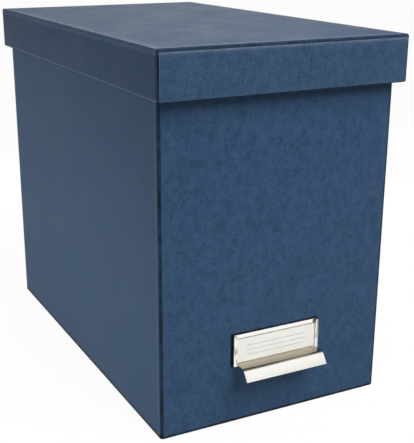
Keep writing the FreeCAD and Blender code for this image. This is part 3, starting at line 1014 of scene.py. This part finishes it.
@dataclass
class Wrap:
    """Paper wrapped round standing boards: one surface from its first edge to its last."""

    name: str
    perimeter: Perimeter
    stations: Callable[[float], list[Station]]
    rim: Callable[[float, float], float]
    edge: float = 0.12
    weld: float = 0.02

    def build(self, downwards: bool) -> bpy.types.Object:
        """The wrap as a thin closed shell.

        Args:
            downwards: Whether it starts at a flat top panel, as on a lid, or under a floor.

        Returns:
            The piece.
        """
        paths = [self.stations(self.rim(x, y)) for x, y in self.perimeter.ring(0.0)]
        rows, count = len(paths[0]), len(paths)
        around = self.perimeter.ring_tones()
        vertices, tones = [], []
        for row in range(rows):
            ring = self.perimeter.ring(paths[0][row][0])
            for (x, y), path, ring_tone in zip(ring, paths, around):
                _, height, tone, share = path[row]
                vertices.append((x, y, height))
                tones.append(max(DARKEST, tone + share * ring_tone))
        faces = [
            (row * count + index, (row + 1) * count + index, (row + 1) * count + (index + 1) % count,
             row * count + (index + 1) % count)
            for row in range(rows - 1) for index in range(count)
        ]
        if downwards:
            faces.append(tuple(range(count)))
        else:
            faces = [tuple(reversed(face)) for face in faces]
        piece = make_piece(self.name, vertices, faces, COVER, tones)
        merge_points(piece, self.weld)
        thicken(piece, PAPER, self.edge)
        settle(piece)
        return piece


@dataclass
class Lid:
    """The lift-off lid's wrap and end sheets.

    The pairs for the top edge's highlight, the shade band under the shoulder, the hem, the end sheet's top
    highlight and its hem are a distance in millimetres and its tone: painted highlight above 0, painted shade
    below 0.
    """

    top_radius: float = 1.6
    corner_radius: float = 1.9
    fold_radius: float = 0.9
    # Painted highlight along the top panel's edge, as distances from the rounding and tones
    top_edge_highlight: tuple[Point, ...] = ((14.0, 0.0), (5.5, 0.04), (2.0, 0.15), (0.0, 0.36))
    # A slight painted highlight on the shoulder, which also takes most of the ring's painted corner shade
    shoulder_tone: float = 0.08
    shoulder_share: float = 0.85
    # A band of painted shade under the shoulder: its depth below the top, then drops below that with their
    # tones
    shade_band_depth: float = 3.8
    shade_band: tuple[Point, ...] = ((0.0, 0.06), (1.5, -0.3), (4.0, -0.28))
    # Near the foot, a little painted shade and then a painted highlight, as rises and tones
    hem: tuple[Point, ...] = ((2.4, -0.24), (1.4, 0.16))
    # Painted highlight where the foot's fold starts, painted shade round the fold and under the foot
    fold_tones: tuple[float, float, float] = (0.26, -1.0, -1.5)
    # Painted shade round the upright corners, then a slight painted highlight where a side begins
    corner_tones: tuple[float, ...] = (-1.3, -1.1, -0.8, -0.4, 0.0, 0.1, 0.12)
    sheet_thickness: float = 0.22
    sheet_inset: float = 2.1
    sheet_top_inset: float = 2.3
    sheet_turn_inset: float = 2.0
    sheet_turn_top: float = 1.0
    # Painted highlight along the end sheet's top edge, as drops and tones
    sheet_top_highlight: tuple[Point, ...] = ((0.0, 0.45), (0.6, 0.2), (2.0, 0.05), (4.0, 0.02))
    sheet_hem: Point = (3.0, 0.02)
    # A faint painted highlight where the sheet's fold starts, and painted shade under its foot
    sheet_fold_tones: tuple[float, float] = (0.04, -1.5)
    # Painted highlight along the end sheet's side edges
    sheet_edge_tone: float = 0.14
    low: Vector = field(default_factory=lambda: in_millimetres("lid_cover")[0])
    high: Vector = field(default_factory=lambda: in_millimetres("lid_cover")[1])
    turn_top: float = field(default_factory=lambda: in_millimetres("lid_lining")[0].z)
    inner: Vector = field(default_factory=lambda: in_millimetres("lid_lining")[1])

    def wrap_stations(self, _rim: float) -> list[Station]:
        """The wrap from the top panel's edge, down, round the skirt's foot and up inside.

        Args:
            _rim: The rim's height, which is the same all round a lid. It is not used.

        Returns:
            The stations. The paper has a painted highlight along the top's edge and at the foot, a band of
            painted shade under the shoulder, and painted shade under the foot.
        """
        top, bottom = self.high.z, self.low.z
        wall = self.high.x - self.inner.x + PAPER
        shoulder = arc((self.top_radius, top - self.top_radius), self.top_radius, 90, 180, 6)
        outer_fold = arc((self.fold_radius, bottom + self.fold_radius), self.fold_radius, 180, 270, 4)
        inner_fold = arc((wall - self.fold_radius, bottom + self.fold_radius), self.fold_radius, -90, 0, 4)
        below = top - self.shade_band_depth
        fold_start, fold_side, fold_foot = self.fold_tones
        return [*[(self.top_radius + width, top, tone, 0.0) for width, tone in self.top_edge_highlight],
                *toned(shoulder[1:], self.shoulder_tone, self.shoulder_share),
                *[(0.0, below - drop, tone, 1.0) for drop, tone in self.shade_band],
                *[(0.0, bottom + rise, tone, 1.0) for rise, tone in self.hem],
                *toned(outer_fold[:1], fold_start, 1.0), *toned(outer_fold[1:2], fold_side, 0.0),
                *toned([*outer_fold[2:], *inner_fold[:2]], fold_foot, 0.0),
                *toned([*inner_fold[2:], (wall, self.turn_top)], 0.0, 0.0)]

    def build(self) -> list[bpy.types.Object]:
        """The lid's own pieces.

        Returns:
            The pieces.
        """
        around = Perimeter(self.high.x, self.high.y - self.sheet_thickness, self.corner_radius,
                           self.corner_tones)
        wrap = Wrap("lid_wrap", around, self.wrap_stations, lambda x, y: self.high.z).build(True)
        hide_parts("lid_cover")
        return [mount(piece, "lid", "cover_paper") for piece in (wrap, *map(self.end_sheet, End))]

    def end_sheet(self, end: End) -> bpy.types.Object:
        """The separate sheet on a short end, turned in round the skirt's foot.

        Args:
            end: Which end it is on.

        Returns:
            The piece.
        """
        face, bottom = self.high.y, self.low.z - self.sheet_thickness
        wall = self.high.y - self.inner.y + PAPER + self.sheet_thickness
        fold = self.fold_radius + self.sheet_thickness
        sheet_top = self.high.z - self.sheet_top_inset
        path = [(0.0, sheet_top - drop, tone) for drop, tone in self.sheet_top_highlight]
        path.append((0.0, bottom + self.sheet_hem[0], self.sheet_hem[1]))
        outer_fold = arc((fold, bottom + fold), fold, 180, 270, 4)
        fold_side, fold_foot = self.sheet_fold_tones
        path += [(*point, fold_side) for point in outer_fold[:2]]
        path += [(*point, fold_foot) for point in outer_fold[2:]]
        path += [(*point, 0.0) for point in arc((wall - fold, bottom + fold), fold, -90, 0, 4)]
        path.append((wall, self.turn_top - self.sheet_turn_top, 0.0))
        sheet = EndSheet(f"lid_{end.name.lower()}_sheet", end, face, self.high.x - self.sheet_inset,
                         self.inner.x - self.sheet_turn_inset, self.sheet_thickness,
                         edge_tone=self.sheet_edge_tone)
        return sheet.build(path)


@dataclass
class EndSheet:
    """A sheet of cover paper pasted over a short end. A fitting on it has an outline of painted shade round
    itself, and the sheet's side edges have a painted highlight.
    """

    name: str
    end: End
    face: float
    half: float
    inner_half: float
    thickness: float
    # The outline of painted shade round a fitting: half its width, its lowest and its highest point
    shaded_outline: tuple[float, float, float] | None = None
    line_width: float = 0.7
    outline_shade_tone: float = DARKEST
    # A painted highlight along the sheet's side edges, kept off the foot's painted shade
    edge_width: float = 0.7
    edge_tone: float = 0.0
    edge_reach: float = 0.1
    foot_tone: float = -1.0
    turned_at: float = 1.2
    softened: float = 0.05

    def columns(self, inset: float) -> list[float]:
        """Where the sheet has points across the box.

        Args:
            inset: How far the row is inside the end's face.

        Returns:
            Their places in millimetres, from left to right.
        """
        reach = self.half if inset < self.turned_at else self.inner_half
        stops = [self.shaded_outline[0], self.shaded_outline[0] + self.line_width] if self.shaded_outline else []
        right = [*stops, reach - self.edge_width, reach]
        return [-x for x in reversed(right)] + right

    def shaded_outline_rows(self) -> list[tuple[float, float, float]]:
        """The rows that the outline of painted shade round a fitting needs.

        Returns:
            Their points of inset, height and tone, from the highest down.
        """
        if not self.shaded_outline:
            return []
        _, low, high = self.shaded_outline
        return [(0.0, height, 0.0) for height in (high + self.line_width, high, low, low - self.line_width)]

    def tone(self, x: float, height: float, row_tone: float) -> float:
        """How dark or light the sheet is at a point, as painted shade and painted highlight.

        Args:
            x: The point's place across the box.
            height: Its height.
            row_tone: Its row's own tone.

        Returns:
            The tone.
        """
        # Painted shade inside the outline round the fitting; painted highlight at the side edges
        if self.shaded_outline and abs(x) <= self.shaded_outline[0] and self.shaded_outline[1] <= height <= self.shaded_outline[2]:
            return self.outline_shade_tone
        edge_highlight = row_tone > self.foot_tone and abs(x) > self.half - self.edge_reach
        return row_tone + (self.edge_tone if edge_highlight else 0.0)

    def build(self, path: list[tuple[float, float, float]]) -> bpy.types.Object:
        """The sheet as a thin closed shell.

        Args:
            path: Its course as points of inset, height and tone, top edge first.

        Returns:
            The piece.
        """
        vertices, tones, faces = [], [], []
        for inset, height, row_tone in path:
            for x in self.columns(inset):
                vertices.append((x, self.end.value * (self.face - inset), height))
                tones.append(self.tone(x, height, row_tone))
        columns = len(self.columns(0.0))
        for row in range(len(path) - 1):
            for column in range(columns - 1):
                first = row * columns + column
                corners = (first, first + columns, first + columns + 1, first + 1)
                faces.append(corners if self.end is End.FRONT else tuple(reversed(corners)))
        piece = make_piece(self.name, vertices, faces, COVER, tones)
        thicken(piece, self.thickness, self.softened)
        settle(piece)
        return piece


@dataclass
class Base:
    """The open base's wrap, end sheets and rails."""

    section: Section
    corner_radius: float = 1.9
    foot_radius: float = 1.0
    fold_radius: float = 0.7
    sheet_thickness: float = 0.22
    sheet_inset: float = 2.4
    # Painted contact shadow at the foot of the wrap and the end sheets: its tone, its share of the corner
    # shade, the heights it reaches and fades over
    foot_tone: float = -1.4
    foot_share: float = 0.3
    foot_shadow_height: float = 2.6
    foot_shadow_fade: float = 1.0
    sheet_shadow_height: float = 1.8
    sheet_shadow_fade: float = 1.2
    # Painted shade round the upright corners
    corner_tones: tuple[float, ...] = (-1.25, -1.2, -1.1, -1.0, -0.9, -0.7, -0.3)
    # Painted highlight along the end sheet's top edge, fading downwards
    sheet_top_drop: float = 2.0
    sheet_top_fade: float = 0.5
    sheet_top_tone: float = 0.6
    sheet_under_turn: float = 12.0
    turned_in: float = 12.0
    under_turn: float = 15.0
    plate_foot: float = 1.8
    # How far the outline of painted shade reaches past the label holder's plate
    outline_shade_margin: float = 0.9
    step_slope: float = 0.4
    rail_steel: float = 0.8
    rail_bend: float = 1.1
    rail_edge: float = 0.12
    step_gap: float = 0.2
    low: Vector = field(default_factory=lambda: in_millimetres("base_cover")[0])
    high: Vector = field(default_factory=lambda: in_millimetres("base_cover")[1])
    end_board_top: float = field(default_factory=lambda: in_millimetres("front_wall_board")[1].z)
    lining_top: float = field(default_factory=lambda: in_millimetres("base_wall_lining")[1].z)
    inner: Vector = field(default_factory=lambda: in_millimetres("floor_board")[1])

    def rim(self, x: float, y: float) -> float:
        """The rim's height over a point of the outer ring.

        Args:
            x: The point's place across the box.
            y: Its place along the box.

        Returns:
            The height in millimetres.
        """
        end_rim = self.end_board_top + PAPER
        inside = abs(x) < self.inner.x - PAPER - self.step_gap - self.step_slope / 2
        return end_rim if inside and abs(y) > self.inner.y else self.high.z

    def wrap_stations(self, rim: float) -> list[Station]:
        """The wrap from its edge under the floor, round the foot, up, over the rim and down inside.

        Args:
            rim: The rim's height.

        Returns:
            The stations. A painted contact shadow darkens the paper at the foot.
        """
        wall = self.high.x - self.inner.x + PAPER
        fold = self.fold_radius
        foot = arc((self.foot_radius, self.low.z + self.foot_radius), self.foot_radius, 270, 180, 4)
        below_rail = self.end_board_top - self.turned_in
        over = arc((fold, rim - fold), fold, 180, 90, 4)
        inside = arc((wall - fold, rim - fold), fold, 90, 0, 4)
        # Painted contact shadow from the foot up, faded out above
        shadow_top = self.low.z + self.foot_shadow_height
        return [*toned([(self.under_turn, self.low.z), *foot[:2]], 0.0, 0.0),
                *toned([*foot[2:], (0.0, shadow_top)], self.foot_tone, self.foot_share),
                *toned([(0.0, shadow_top + self.foot_shadow_fade), (0.0, below_rail)], 0.0, 1.0),
                *toned([*over, *inside, (wall, below_rail), (wall, self.lining_top)], 0.0, 0.0)]

    def build(self) -> list[bpy.types.Object]:
        """The base's own pieces.

        Returns:
            The pieces.
        """
        high_stop = self.inner.x - PAPER - self.step_gap
        low_stop = high_stop - self.step_slope
        around = Perimeter(self.high.x, self.high.y - self.sheet_thickness, self.corner_radius,
                           self.corner_tones, end_stops=(-high_stop, -low_stop, low_stop, high_stop))
        wrap = Wrap("base_wrap", around, self.wrap_stations, self.rim).build(False)
        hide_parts("base_cover")
        papers = [mount(piece, "base", "cover_paper") for piece in (wrap, *map(self.end_sheet, End))]
        return papers + [self.rail(end) for end in End]

    def rail(self, end: End) -> bpy.types.Object:
        """A bent steel channel on an end wall's rim.

        Args:
            end: Which end it is on.

        Returns:
            The piece.
        """
        node = f"{end.name.lower()}_rail"
        low, high = in_millimetres(node)
        near, far = sorted((abs(low.y), abs(high.y)))
        steel, bend, inner_bend = self.rail_steel, self.rail_bend, self.rail_bend - self.rail_steel
        corners = [(near, low.z, 0), (near, high.z, bend), (far, high.z, bend), (far, low.z, 0),
                   (far - steel, low.z, 0), (far - steel, high.z - steel, inner_bend),
                   (near + steel, high.z - steel, inner_bend), (near + steel, low.z, 0)]
        outline = [(end.value * across, up, radius) for across, up, radius in corners]
        piece = self.section.build(f"{node}_channel", outline, Plane.YZ, high.x - low.x, (0, 0, 0), ZINC,
                                   self.rail_edge)
        settle(piece)
        return mount(piece, "base", "rail_steel", node)

    def end_sheet(self, end: End) -> bpy.types.Object:
        """The separate sheet on a short end, from under the rail to under the floor.

        Args:
            end: Which end it is on.

        Returns:
            The piece.
        """
        bottom = self.low.z - self.sheet_thickness
        fold = self.foot_radius + self.sheet_thickness
        top = self.end_board_top - self.sheet_top_drop
        half = self.high.x - self.sheet_inset
        # The outline of painted shade round the label holder, on the front sheet only
        shaded_outline = self.holder_place() if end is End.FRONT else None
        sheet = EndSheet(f"base_{end.name.lower()}_sheet", end, self.high.y, half, half, self.sheet_thickness,
                         shaded_outline)
        # Painted highlight at the top edge, painted contact shadow at the foot
        shadow_top = bottom + self.sheet_shadow_height
        path = [(0.0, top, self.sheet_top_tone), (0.0, top - self.sheet_top_fade, 0.0), *sheet.shaded_outline_rows(),
                (0.0, shadow_top + self.sheet_shadow_fade, 0.0), (0.0, shadow_top, self.foot_tone)]
        path += [(*point, self.foot_tone) for point in arc((fold, bottom + fold), fold, 180, 225, 2)]
        path += [(*point, 0.0) for point in arc((fold, bottom + fold), fold, 247.5, 270, 1)]
        path.append((self.sheet_under_turn, bottom, 0.0))
        return sheet.build(path)

    def holder_place(self) -> tuple[float, float, float]:
        """Half the width, the lowest and the highest point of the label holder's plate on the front, widened by
        the margin of the painted shade outline round it.
        """
        plate, card = in_millimetres("label_holder")[1], in_millimetres("label_card")[0]
        margin = self.outline_shade_margin
        return plate.x + margin, card.z - self.plate_foot - margin, plate.z + margin


@dataclass
class LabelHolder:
    """The pressed label holder with its finger lip, its rivets and washers, and the card in it."""

    section: Section
    bend_rounding: float = 0.5
    edge_share: float = 0.3
    rivet_crown: float = 0.35
    rivet_brim: float = 0.15
    rivet_seat: float = 0.5
    shank_radius: float = 1.5
    tail_top: float = 1.0
    tail_insets: tuple[float, float] = (0.4, 0.6)
    tail_rolls: tuple[float, float] = (0.3, 0.1)
    washer_hole: float = 1.6
    washer_edge: float = 0.15
    card_corner: float = 0.8
    card_edge: float = 0.08
    least_upright: float = 10.0
    side_reach: float = 0.1
    high: Vector = field(default_factory=lambda: in_millimetres("label_holder")[1])

    def build(self) -> list[bpy.types.Object]:
        """The holder's pieces.

        Returns:
            The pieces.
        """
        holder = softened_copy("pressed_holder", "label_holder", PRESSED_NICKEL, self.bend_rounding,
                               self.edge_rounding)
        lathe = LatheRow()
        return [mount(holder, "base", "holder_nickel", "label_holder"), self.rivets(lathe), self.washers(lathe),
                self.card()]

    def edge_rounding(self, first: Vector, second: Vector) -> float:
        """The share of the widest rounding that an edge gets: all of it where the sheet is bent.

        Args:
            first: One end of the edge.
            second: Its other end.

        Returns:
            The share.
        """
        upright = abs(first.z - second.z) > self.least_upright
        outer = upright and min(abs(first.x), abs(second.x)) > self.high.x - self.side_reach
        return 1.0 if outer else self.edge_share

    def rivets(self, lathe: LatheRow) -> bpy.types.Object:
        """Two rivets with low domed heads in front and set tails on the washers.

        Args:
            lathe: The recipe for turned parts.

        Returns:
            The piece.
        """
        low, high = in_millimetres("holder_rivets")
        head = (high.z - low.z) / 2
        seat, shank = -self.rivet_seat, self.shank_radius
        dome = [(head * math.sin(angle), seat + self.rivet_brim + self.rivet_crown * math.cos(angle))
                for angle in (math.radians(10 * step) for step in range(9))]
        tail_low = low.y - high.y
        tail_high = tail_low + self.tail_top
        brim_inset, roll_inset = self.tail_insets
        roll, foot = self.tail_rolls
        profile = [*dome, (head, seat + self.rivet_brim), (head, seat), (shank, seat), (shank, tail_high),
                   (head - brim_inset, tail_high), (head - roll_inset, tail_high - roll),
                   (shank, tail_low + foot), (shank - brim_inset, tail_low), (0.0, tail_low)]
        spacing = high.x - low.x - 2 * head
        piece = lathe.build("domed_rivets", profile, False, 2, (low.x + head, low.y, (low.z + high.z) / 2),
                            (spacing, 0, 0), NICKEL)
        return mount(piece, "base", "rivet_steel", "holder_rivets")

    def washers(self, lathe: LatheRow) -> bpy.types.Object:
        """Two washers inside the front wall.

        Args:
            lathe: The recipe for turned parts.

        Returns:
            The piece.
        """
        low, high = in_millimetres("rivet_washers")
        outer, hole, edge, steel = (high.z - low.z) / 2, self.washer_hole, self.washer_edge, high.y - low.y
        profile = [(outer - edge, 0), (outer, -edge), (outer, -steel + edge), (outer - edge, -steel),
                   (hole, -steel), (hole, 0)]
        piece = lathe.build("flat_washers", profile, True, 2, (low.x + outer, low.y, (low.z + high.z) / 2),
                            (high.x - low.x - 2 * outer, 0, 0), ZINC)
        return mount(piece, "base", "rivet_steel", "rivet_washers")

    def card(self) -> bpy.types.Object:
        """The label card, with rounded corners and plain ruled lines.

        Returns:
            The piece.
        """
        low, high = in_millimetres("label_card")
        radius = self.card_corner
        outline = [(low.x, low.z, radius), (high.x, low.z, radius), (high.x, high.z, radius),
                   (low.x, high.z, radius)]
        middle = (0, (low.y + high.y) / 2, 0)
        piece = self.section.build("ruled_card", outline, Plane.XZ, high.y - low.y, middle, CARD,
                                   self.card_edge)
        settle(piece)
        return mount(piece, "label_card", "label_card", "label_card")


@dataclass
class HangingFile:
    """One hanging file: a folded card on two hooked rods, with a clear tab."""

    number: int
    section: Section
    slots: SlotRow
    card: float = 0.4
    hem_width: float = 2.3
    hem_height: float = 13.05
    bottom_width: float = 6.0
    foot_bends: Point = (1.4, 1.0)
    hem_bends: Point = (1.0, 0.5)
    fold_edge: float = 0.07
    tab_edge: float = 0.2
    belly: float = 1.2
    belly_steps: int = 14
    hook_height: float = 6.0
    hook_reach: float = 2.4
    hook_chamfer: float = 1.6
    hook_bends: tuple[float, ...] = (1.2, 1.2, 0.9, 0.9, 0.8, 0.8, 0.6)
    rail_gap: float = 1.5
    rod_edge: float = 0.2
    slot_size: tuple[float, float, float] = (0.9, 8.0, 2.0)
    slot_drop: float = 5.0
    slot_pair: float = 26.0
    slot_pitch: float = 38.0
    slot_count: int = 6

    def build(self) -> list[bpy.types.Object]:
        """The file's pieces.

        Returns:
            The pieces.
        """
        body = f"file_{self.number}"
        pieces = [mount(self.fold(), body, "folder_card", f"{body}_folder")]
        for side in Side:
            pieces.append(mount(self.rod(side), body, "rod_steel", f"{body}_{side.name.lower()}_rod"))
        tab = softened_copy(f"{body}_clear_tab", f"{body}_tab", CLEAR, self.tab_edge, lambda first, second: 1.0)
        pieces.append(mount(tab, body, "tab_plastic", f"{body}_tab"))
        return pieces

    def fold(self) -> bpy.types.Object:
        """The folded card: two leaves that belly out a little, hemmed over their rods, with rows of tab slots.

        Returns:
            The piece.
        """
        low, high = in_millimetres(f"file_{self.number}_folder")
        outer, card = (high.x - low.x) / 2, self.card
        inner = outer - self.hem_width
        flap, under, foot = high.z - self.hem_height, high.z - card, self.bottom_width / 2
        outside = [self.leaf(step, foot, inner + card, low.z, flap) for step in range(1, self.belly_steps)]
        inside = [(across - card, up) for across, up in reversed(outside)]
        foot_bend, inner_foot_bend = self.foot_bends
        bend, inner_bend = self.hem_bends
        right = [(foot, low.z, foot_bend), *[(*point, 0.0) for point in outside], (inner + card, flap, 0.0),
                 (inner + card, under, inner_bend), (outer - card, under, inner_bend),
                 (outer - card, flap, 0.0), (outer, flap, 0.0), (outer, high.z, bend), (inner, high.z, bend),
                 (inner, flap, 0.0),
                 *[(*point, 0.0) for point in inside], (foot - card, low.z + card, inner_foot_bend)]
        left = [(-across, up, bend) for across, up, bend in reversed(right)]
        middle = (low.x + high.x) / 2
        piece = self.section.build(f"file_{self.number}_fold", right + left, Plane.XZ, high.y - low.y,
                                   (middle, 0, 0), PRESSBOARD, self.fold_edge)
        half_row = (self.slot_count - 1) / 2 * self.slot_pitch
        for side in Side:
            for half in (-0.5, 0.5):
                start = (middle + side.value * (outer - card / 2), half * self.slot_pair - half_row,
                         high.z - self.slot_drop)
                self.slots.apply(piece, PRESSBOARD, Size=metres(self.slot_size), Count=self.slot_count,
                                 Start=metres(start), Step=metres((0.0, self.slot_pitch, 0.0)))
        settle(piece)
        return piece

    def leaf(self, step: int, foot: float, top: float, low: float, high: float) -> Point:
        """A point on the outside of a leaf.

        Args:
            step: How many steps up it is.
            foot: The leaf's distance from the middle at its foot.
            top: The same at its hem.
            low: The foot's height.
            high: The hem's height.

        Returns:
            The point.
        """
        share = step / self.belly_steps
        bulge = self.belly * math.sin(math.pi * share) ** 2
        return foot + (top - foot) * share + bulge, low + (high - low) * share

    def rod(self, side: Side) -> bpy.types.Object:
        """A flat steel rod whose hooked ends pass over the rails.

        Args:
            side: Which of the two it is.

        Returns:
            The piece.
        """
        node = f"file_{self.number}_{side.name.lower()}_rod"
        low, high = in_millimetres(node)
        tip, chamfer = high.y, self.hook_chamfer
        seat = low.z + self.hook_height
        inside, bar_end = tip - self.hook_reach, in_millimetres("back_rail")[0].y - self.rail_gap
        corners = [(tip - chamfer, high.z), (tip, high.z - chamfer), (tip, low.z), (inside, low.z),
                   (inside, seat), (bar_end, seat), (bar_end, low.z)]
        back = [(*corner, bend) for corner, bend in zip(corners, self.hook_bends)]
        front = [(-along, up, bend) for along, up, bend in reversed(back)]
        piece = self.section.build(f"{node}_bar", back + front, Plane.YZ, high.x - low.x,
                                   ((low.x + high.x) / 2, 0, 0), ROD_STEEL, self.rod_edge)
        settle(piece)
        return piece


NODE_FINISHES: dict[str, Finish] = {
    "board": BOARD, "corner_stays": TAPE, "lining": LINING, "underside_sheet": UNDERSIDE, "rail": ZINC,
    "label_holder": NICKEL, "rivet": NICKEL, "label_card": CARD, "folder": PRESSBOARD, "rod": ROD_STEEL,
    "tab_insert": INSERT, "tab": CLEAR, "cover": COVER,
}


def dress_nodes() -> None:
    """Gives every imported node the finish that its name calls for."""
    for name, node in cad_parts.items():
        finish = next(value for part, value in NODE_FINISHES.items() if part in name)
        node.data.materials.clear()
        node.data.materials.append(finish.material())


@dataclass(frozen=True)
class Softbox:
    """A rectangular lamp turned to the box, its place and size in metres and its power in watts."""

    name: str
    place: tuple[float, float, float]
    size: Point
    power: float
    mirrored: bool = False
    aim_height: float = 0.13

    def hang(self) -> None:
        """Adds the lamp. It shows in gloss and metal only if it is mirrored."""
        lamp = bpy.data.lights.new(self.name, "AREA")
        lamp.shape = "RECTANGLE"
        lamp.size, lamp.size_y = self.size
        lamp.energy = self.power
        softbox = new_object(self.name, lamp)
        softbox.location = self.place
        aim = Vector((0.0, 0.0, self.aim_height)) - Vector(self.place)
        softbox.rotation_euler = aim.to_track_quat("-Z", "Y").to_euler()
        softbox.visible_camera = False
        softbox.visible_glossy = self.mirrored


@dataclass
class Studio:
    """Floor, camera and light: a softbox over the front, one far behind the box, and low strips all round."""

    softboxes: tuple[Softbox, ...] = (
        Softbox("key", (0.3, -0.95, 1.15), (0.85, 0.85), 21.5),
        Softbox("low_front", (0.0, -0.36, 0.04), (0.5, 0.05), 0.17),
        Softbox("low_left", (-0.38, -0.02, 0.06), (0.6, 0.1), 0.9),
        Softbox("low_right", (0.55, 0.05, 0.14), (0.6, 0.2), 0.9),
        Softbox("low_back", (0.0, 0.7, 0.14), (0.6, 0.2), 2.2),
        Softbox("back", (1.3, 2.7, 1.25), (1.4, 1.4), 8.6, mirrored=True),
    )
    camera_place: Vector = field(default_factory=lambda: Vector((-0.3197, -0.6598, 0.3357)))
    yaw: float = 26.78
    pitch: float = 18.33
    focal_pixels: float = 904.5
    image_size: tuple[int, int] = (414, 443)
    centre_pixel: tuple[float, float] = (192.47, 231.70)
    world_strength: float = 0.12
    horizon_share: float = 0.05
    wall_middle: float = 0.5
    wall_top: float = 0.8
    ceiling_edge: float = 0.93
    ceiling_share: float = 0.15
    floor_tone: float = 0.2
    floor_tone_seen: float = 0.95
    floor_glow: float = 0.96
    floor_reach: float = 6.0

    def build(self) -> None:
        """Builds the whole studio."""
        self.set_camera()
        self.set_world()
        self.lay_floor()
        for softbox in self.softboxes:
            softbox.hang()
        bpy.context.scene.view_settings.view_transform = "Standard"

    def set_camera(self) -> None:
        """The camera at the photograph's place and angle."""
        data = bpy.data.cameras.new("camera")
        long_side = max(self.image_size)
        data.lens = self.focal_pixels / long_side * data.sensor_width
        data.shift_x = (self.image_size[0] / 2 - self.centre_pixel[0]) / long_side
        data.shift_y = (self.centre_pixel[1] - self.image_size[1] / 2) / long_side
        data.clip_start = 0.01
        camera = new_object("camera", data)
        yaw, pitch = math.radians(self.yaw), math.radians(self.pitch)
        ahead = Vector((math.sin(yaw) * math.cos(pitch), math.cos(yaw) * math.cos(pitch), -math.sin(pitch)))
        camera.location = self.camera_place
        camera.rotation_euler = ahead.to_track_quat("-Z", "Y").to_euler()
        bpy.context.scene.camera = camera

    def set_world(self) -> None:
        """A white surround for the camera and for reflections, and a softer one for light."""
        world = bpy.data.worlds.new("studio")
        world.use_nodes = True
        graph = Graph(world.node_tree)
        path = graph.add("ShaderNodeLightPath")
        seen = graph.math("MAXIMUM", path.outputs["Is Camera Ray"], path.outputs["Is Transmission Ray"])
        way = graph.add("ShaderNodeTexCoord").outputs["Generated"]
        height = graph.add("ShaderNodeSeparateXYZ", way).outputs["Z"]
        wall = graph.span(height, 0.0, self.wall_middle, self.horizon_share, 1.0)
        ceiling = graph.span(height, self.wall_top, self.ceiling_edge, 1.0, self.ceiling_share)
        mirrored = graph.math("MULTIPLY", path.outputs["Is Glossy Ray"], graph.math("MULTIPLY", wall, ceiling))
        seen = graph.math("MAXIMUM", seen, mirrored)
        strength = graph.span(seen, 0.0, 1.0, self.world_strength, 1.0)
        surround = graph.add("ShaderNodeBackground", WHITE, strength)
        graph.add("ShaderNodeOutputWorld", surround.outputs[0])
        bpy.context.scene.world = world

    def lay_floor(self) -> None:
        """A pale floor that is white to the camera but keeps the box's shadow."""
        material = bpy.data.materials.new("studio_floor")
        material.use_nodes = True
        graph = Graph(material.node_tree)
        path = graph.add("ShaderNodeLightPath")
        seen = graph.math("MAXIMUM", path.outputs["Is Camera Ray"], path.outputs["Is Transmission Ray"])
        seen = graph.math("MAXIMUM", seen, path.outputs["Is Glossy Ray"])
        tone = graph.span(seen, 0.0, 1.0, self.floor_tone, self.floor_tone_seen)
        matt = graph.add("ShaderNodeBsdfDiffuse", tone)
        bright = graph.add("ShaderNodeEmission", WHITE, 1.0)
        share = graph.math("MULTIPLY", seen, self.floor_glow)
        graph.add("ShaderNodeOutputMaterial",
                  graph.add("ShaderNodeMixShader", share, matt.outputs[0], bright.outputs[0]).outputs[0])
        mesh = bpy.data.meshes.new("studio_floor")
        reach = self.floor_reach
        mesh.from_pydata([(-reach, -reach, 0), (reach, -reach, 0), (reach, reach, 0), (-reach, reach, 0)], [],
                         [(0, 1, 2, 3)])
        mesh.materials.append(material)
        floor = new_object("studio_floor", mesh)


def main() -> None:
    """Builds the box's looks and the studio, and reports each piece."""
    logging.basicConfig(level=logging.INFO, format="%(name)s: %(message)s")
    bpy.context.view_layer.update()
    dress_nodes()
    section, slots = Section(), SlotRow()
    parts = [Base(section), Lid(), LabelHolder(section)]
    parts += [HangingFile(number, section, slots) for number in FILE_NUMBERS]
    for part in parts:
        for piece in part.build():
            LOG.info("%s has %d faces", piece.name, len(piece.data.polygons))
    Studio().build()


if __name__ == "__main__":
    main()
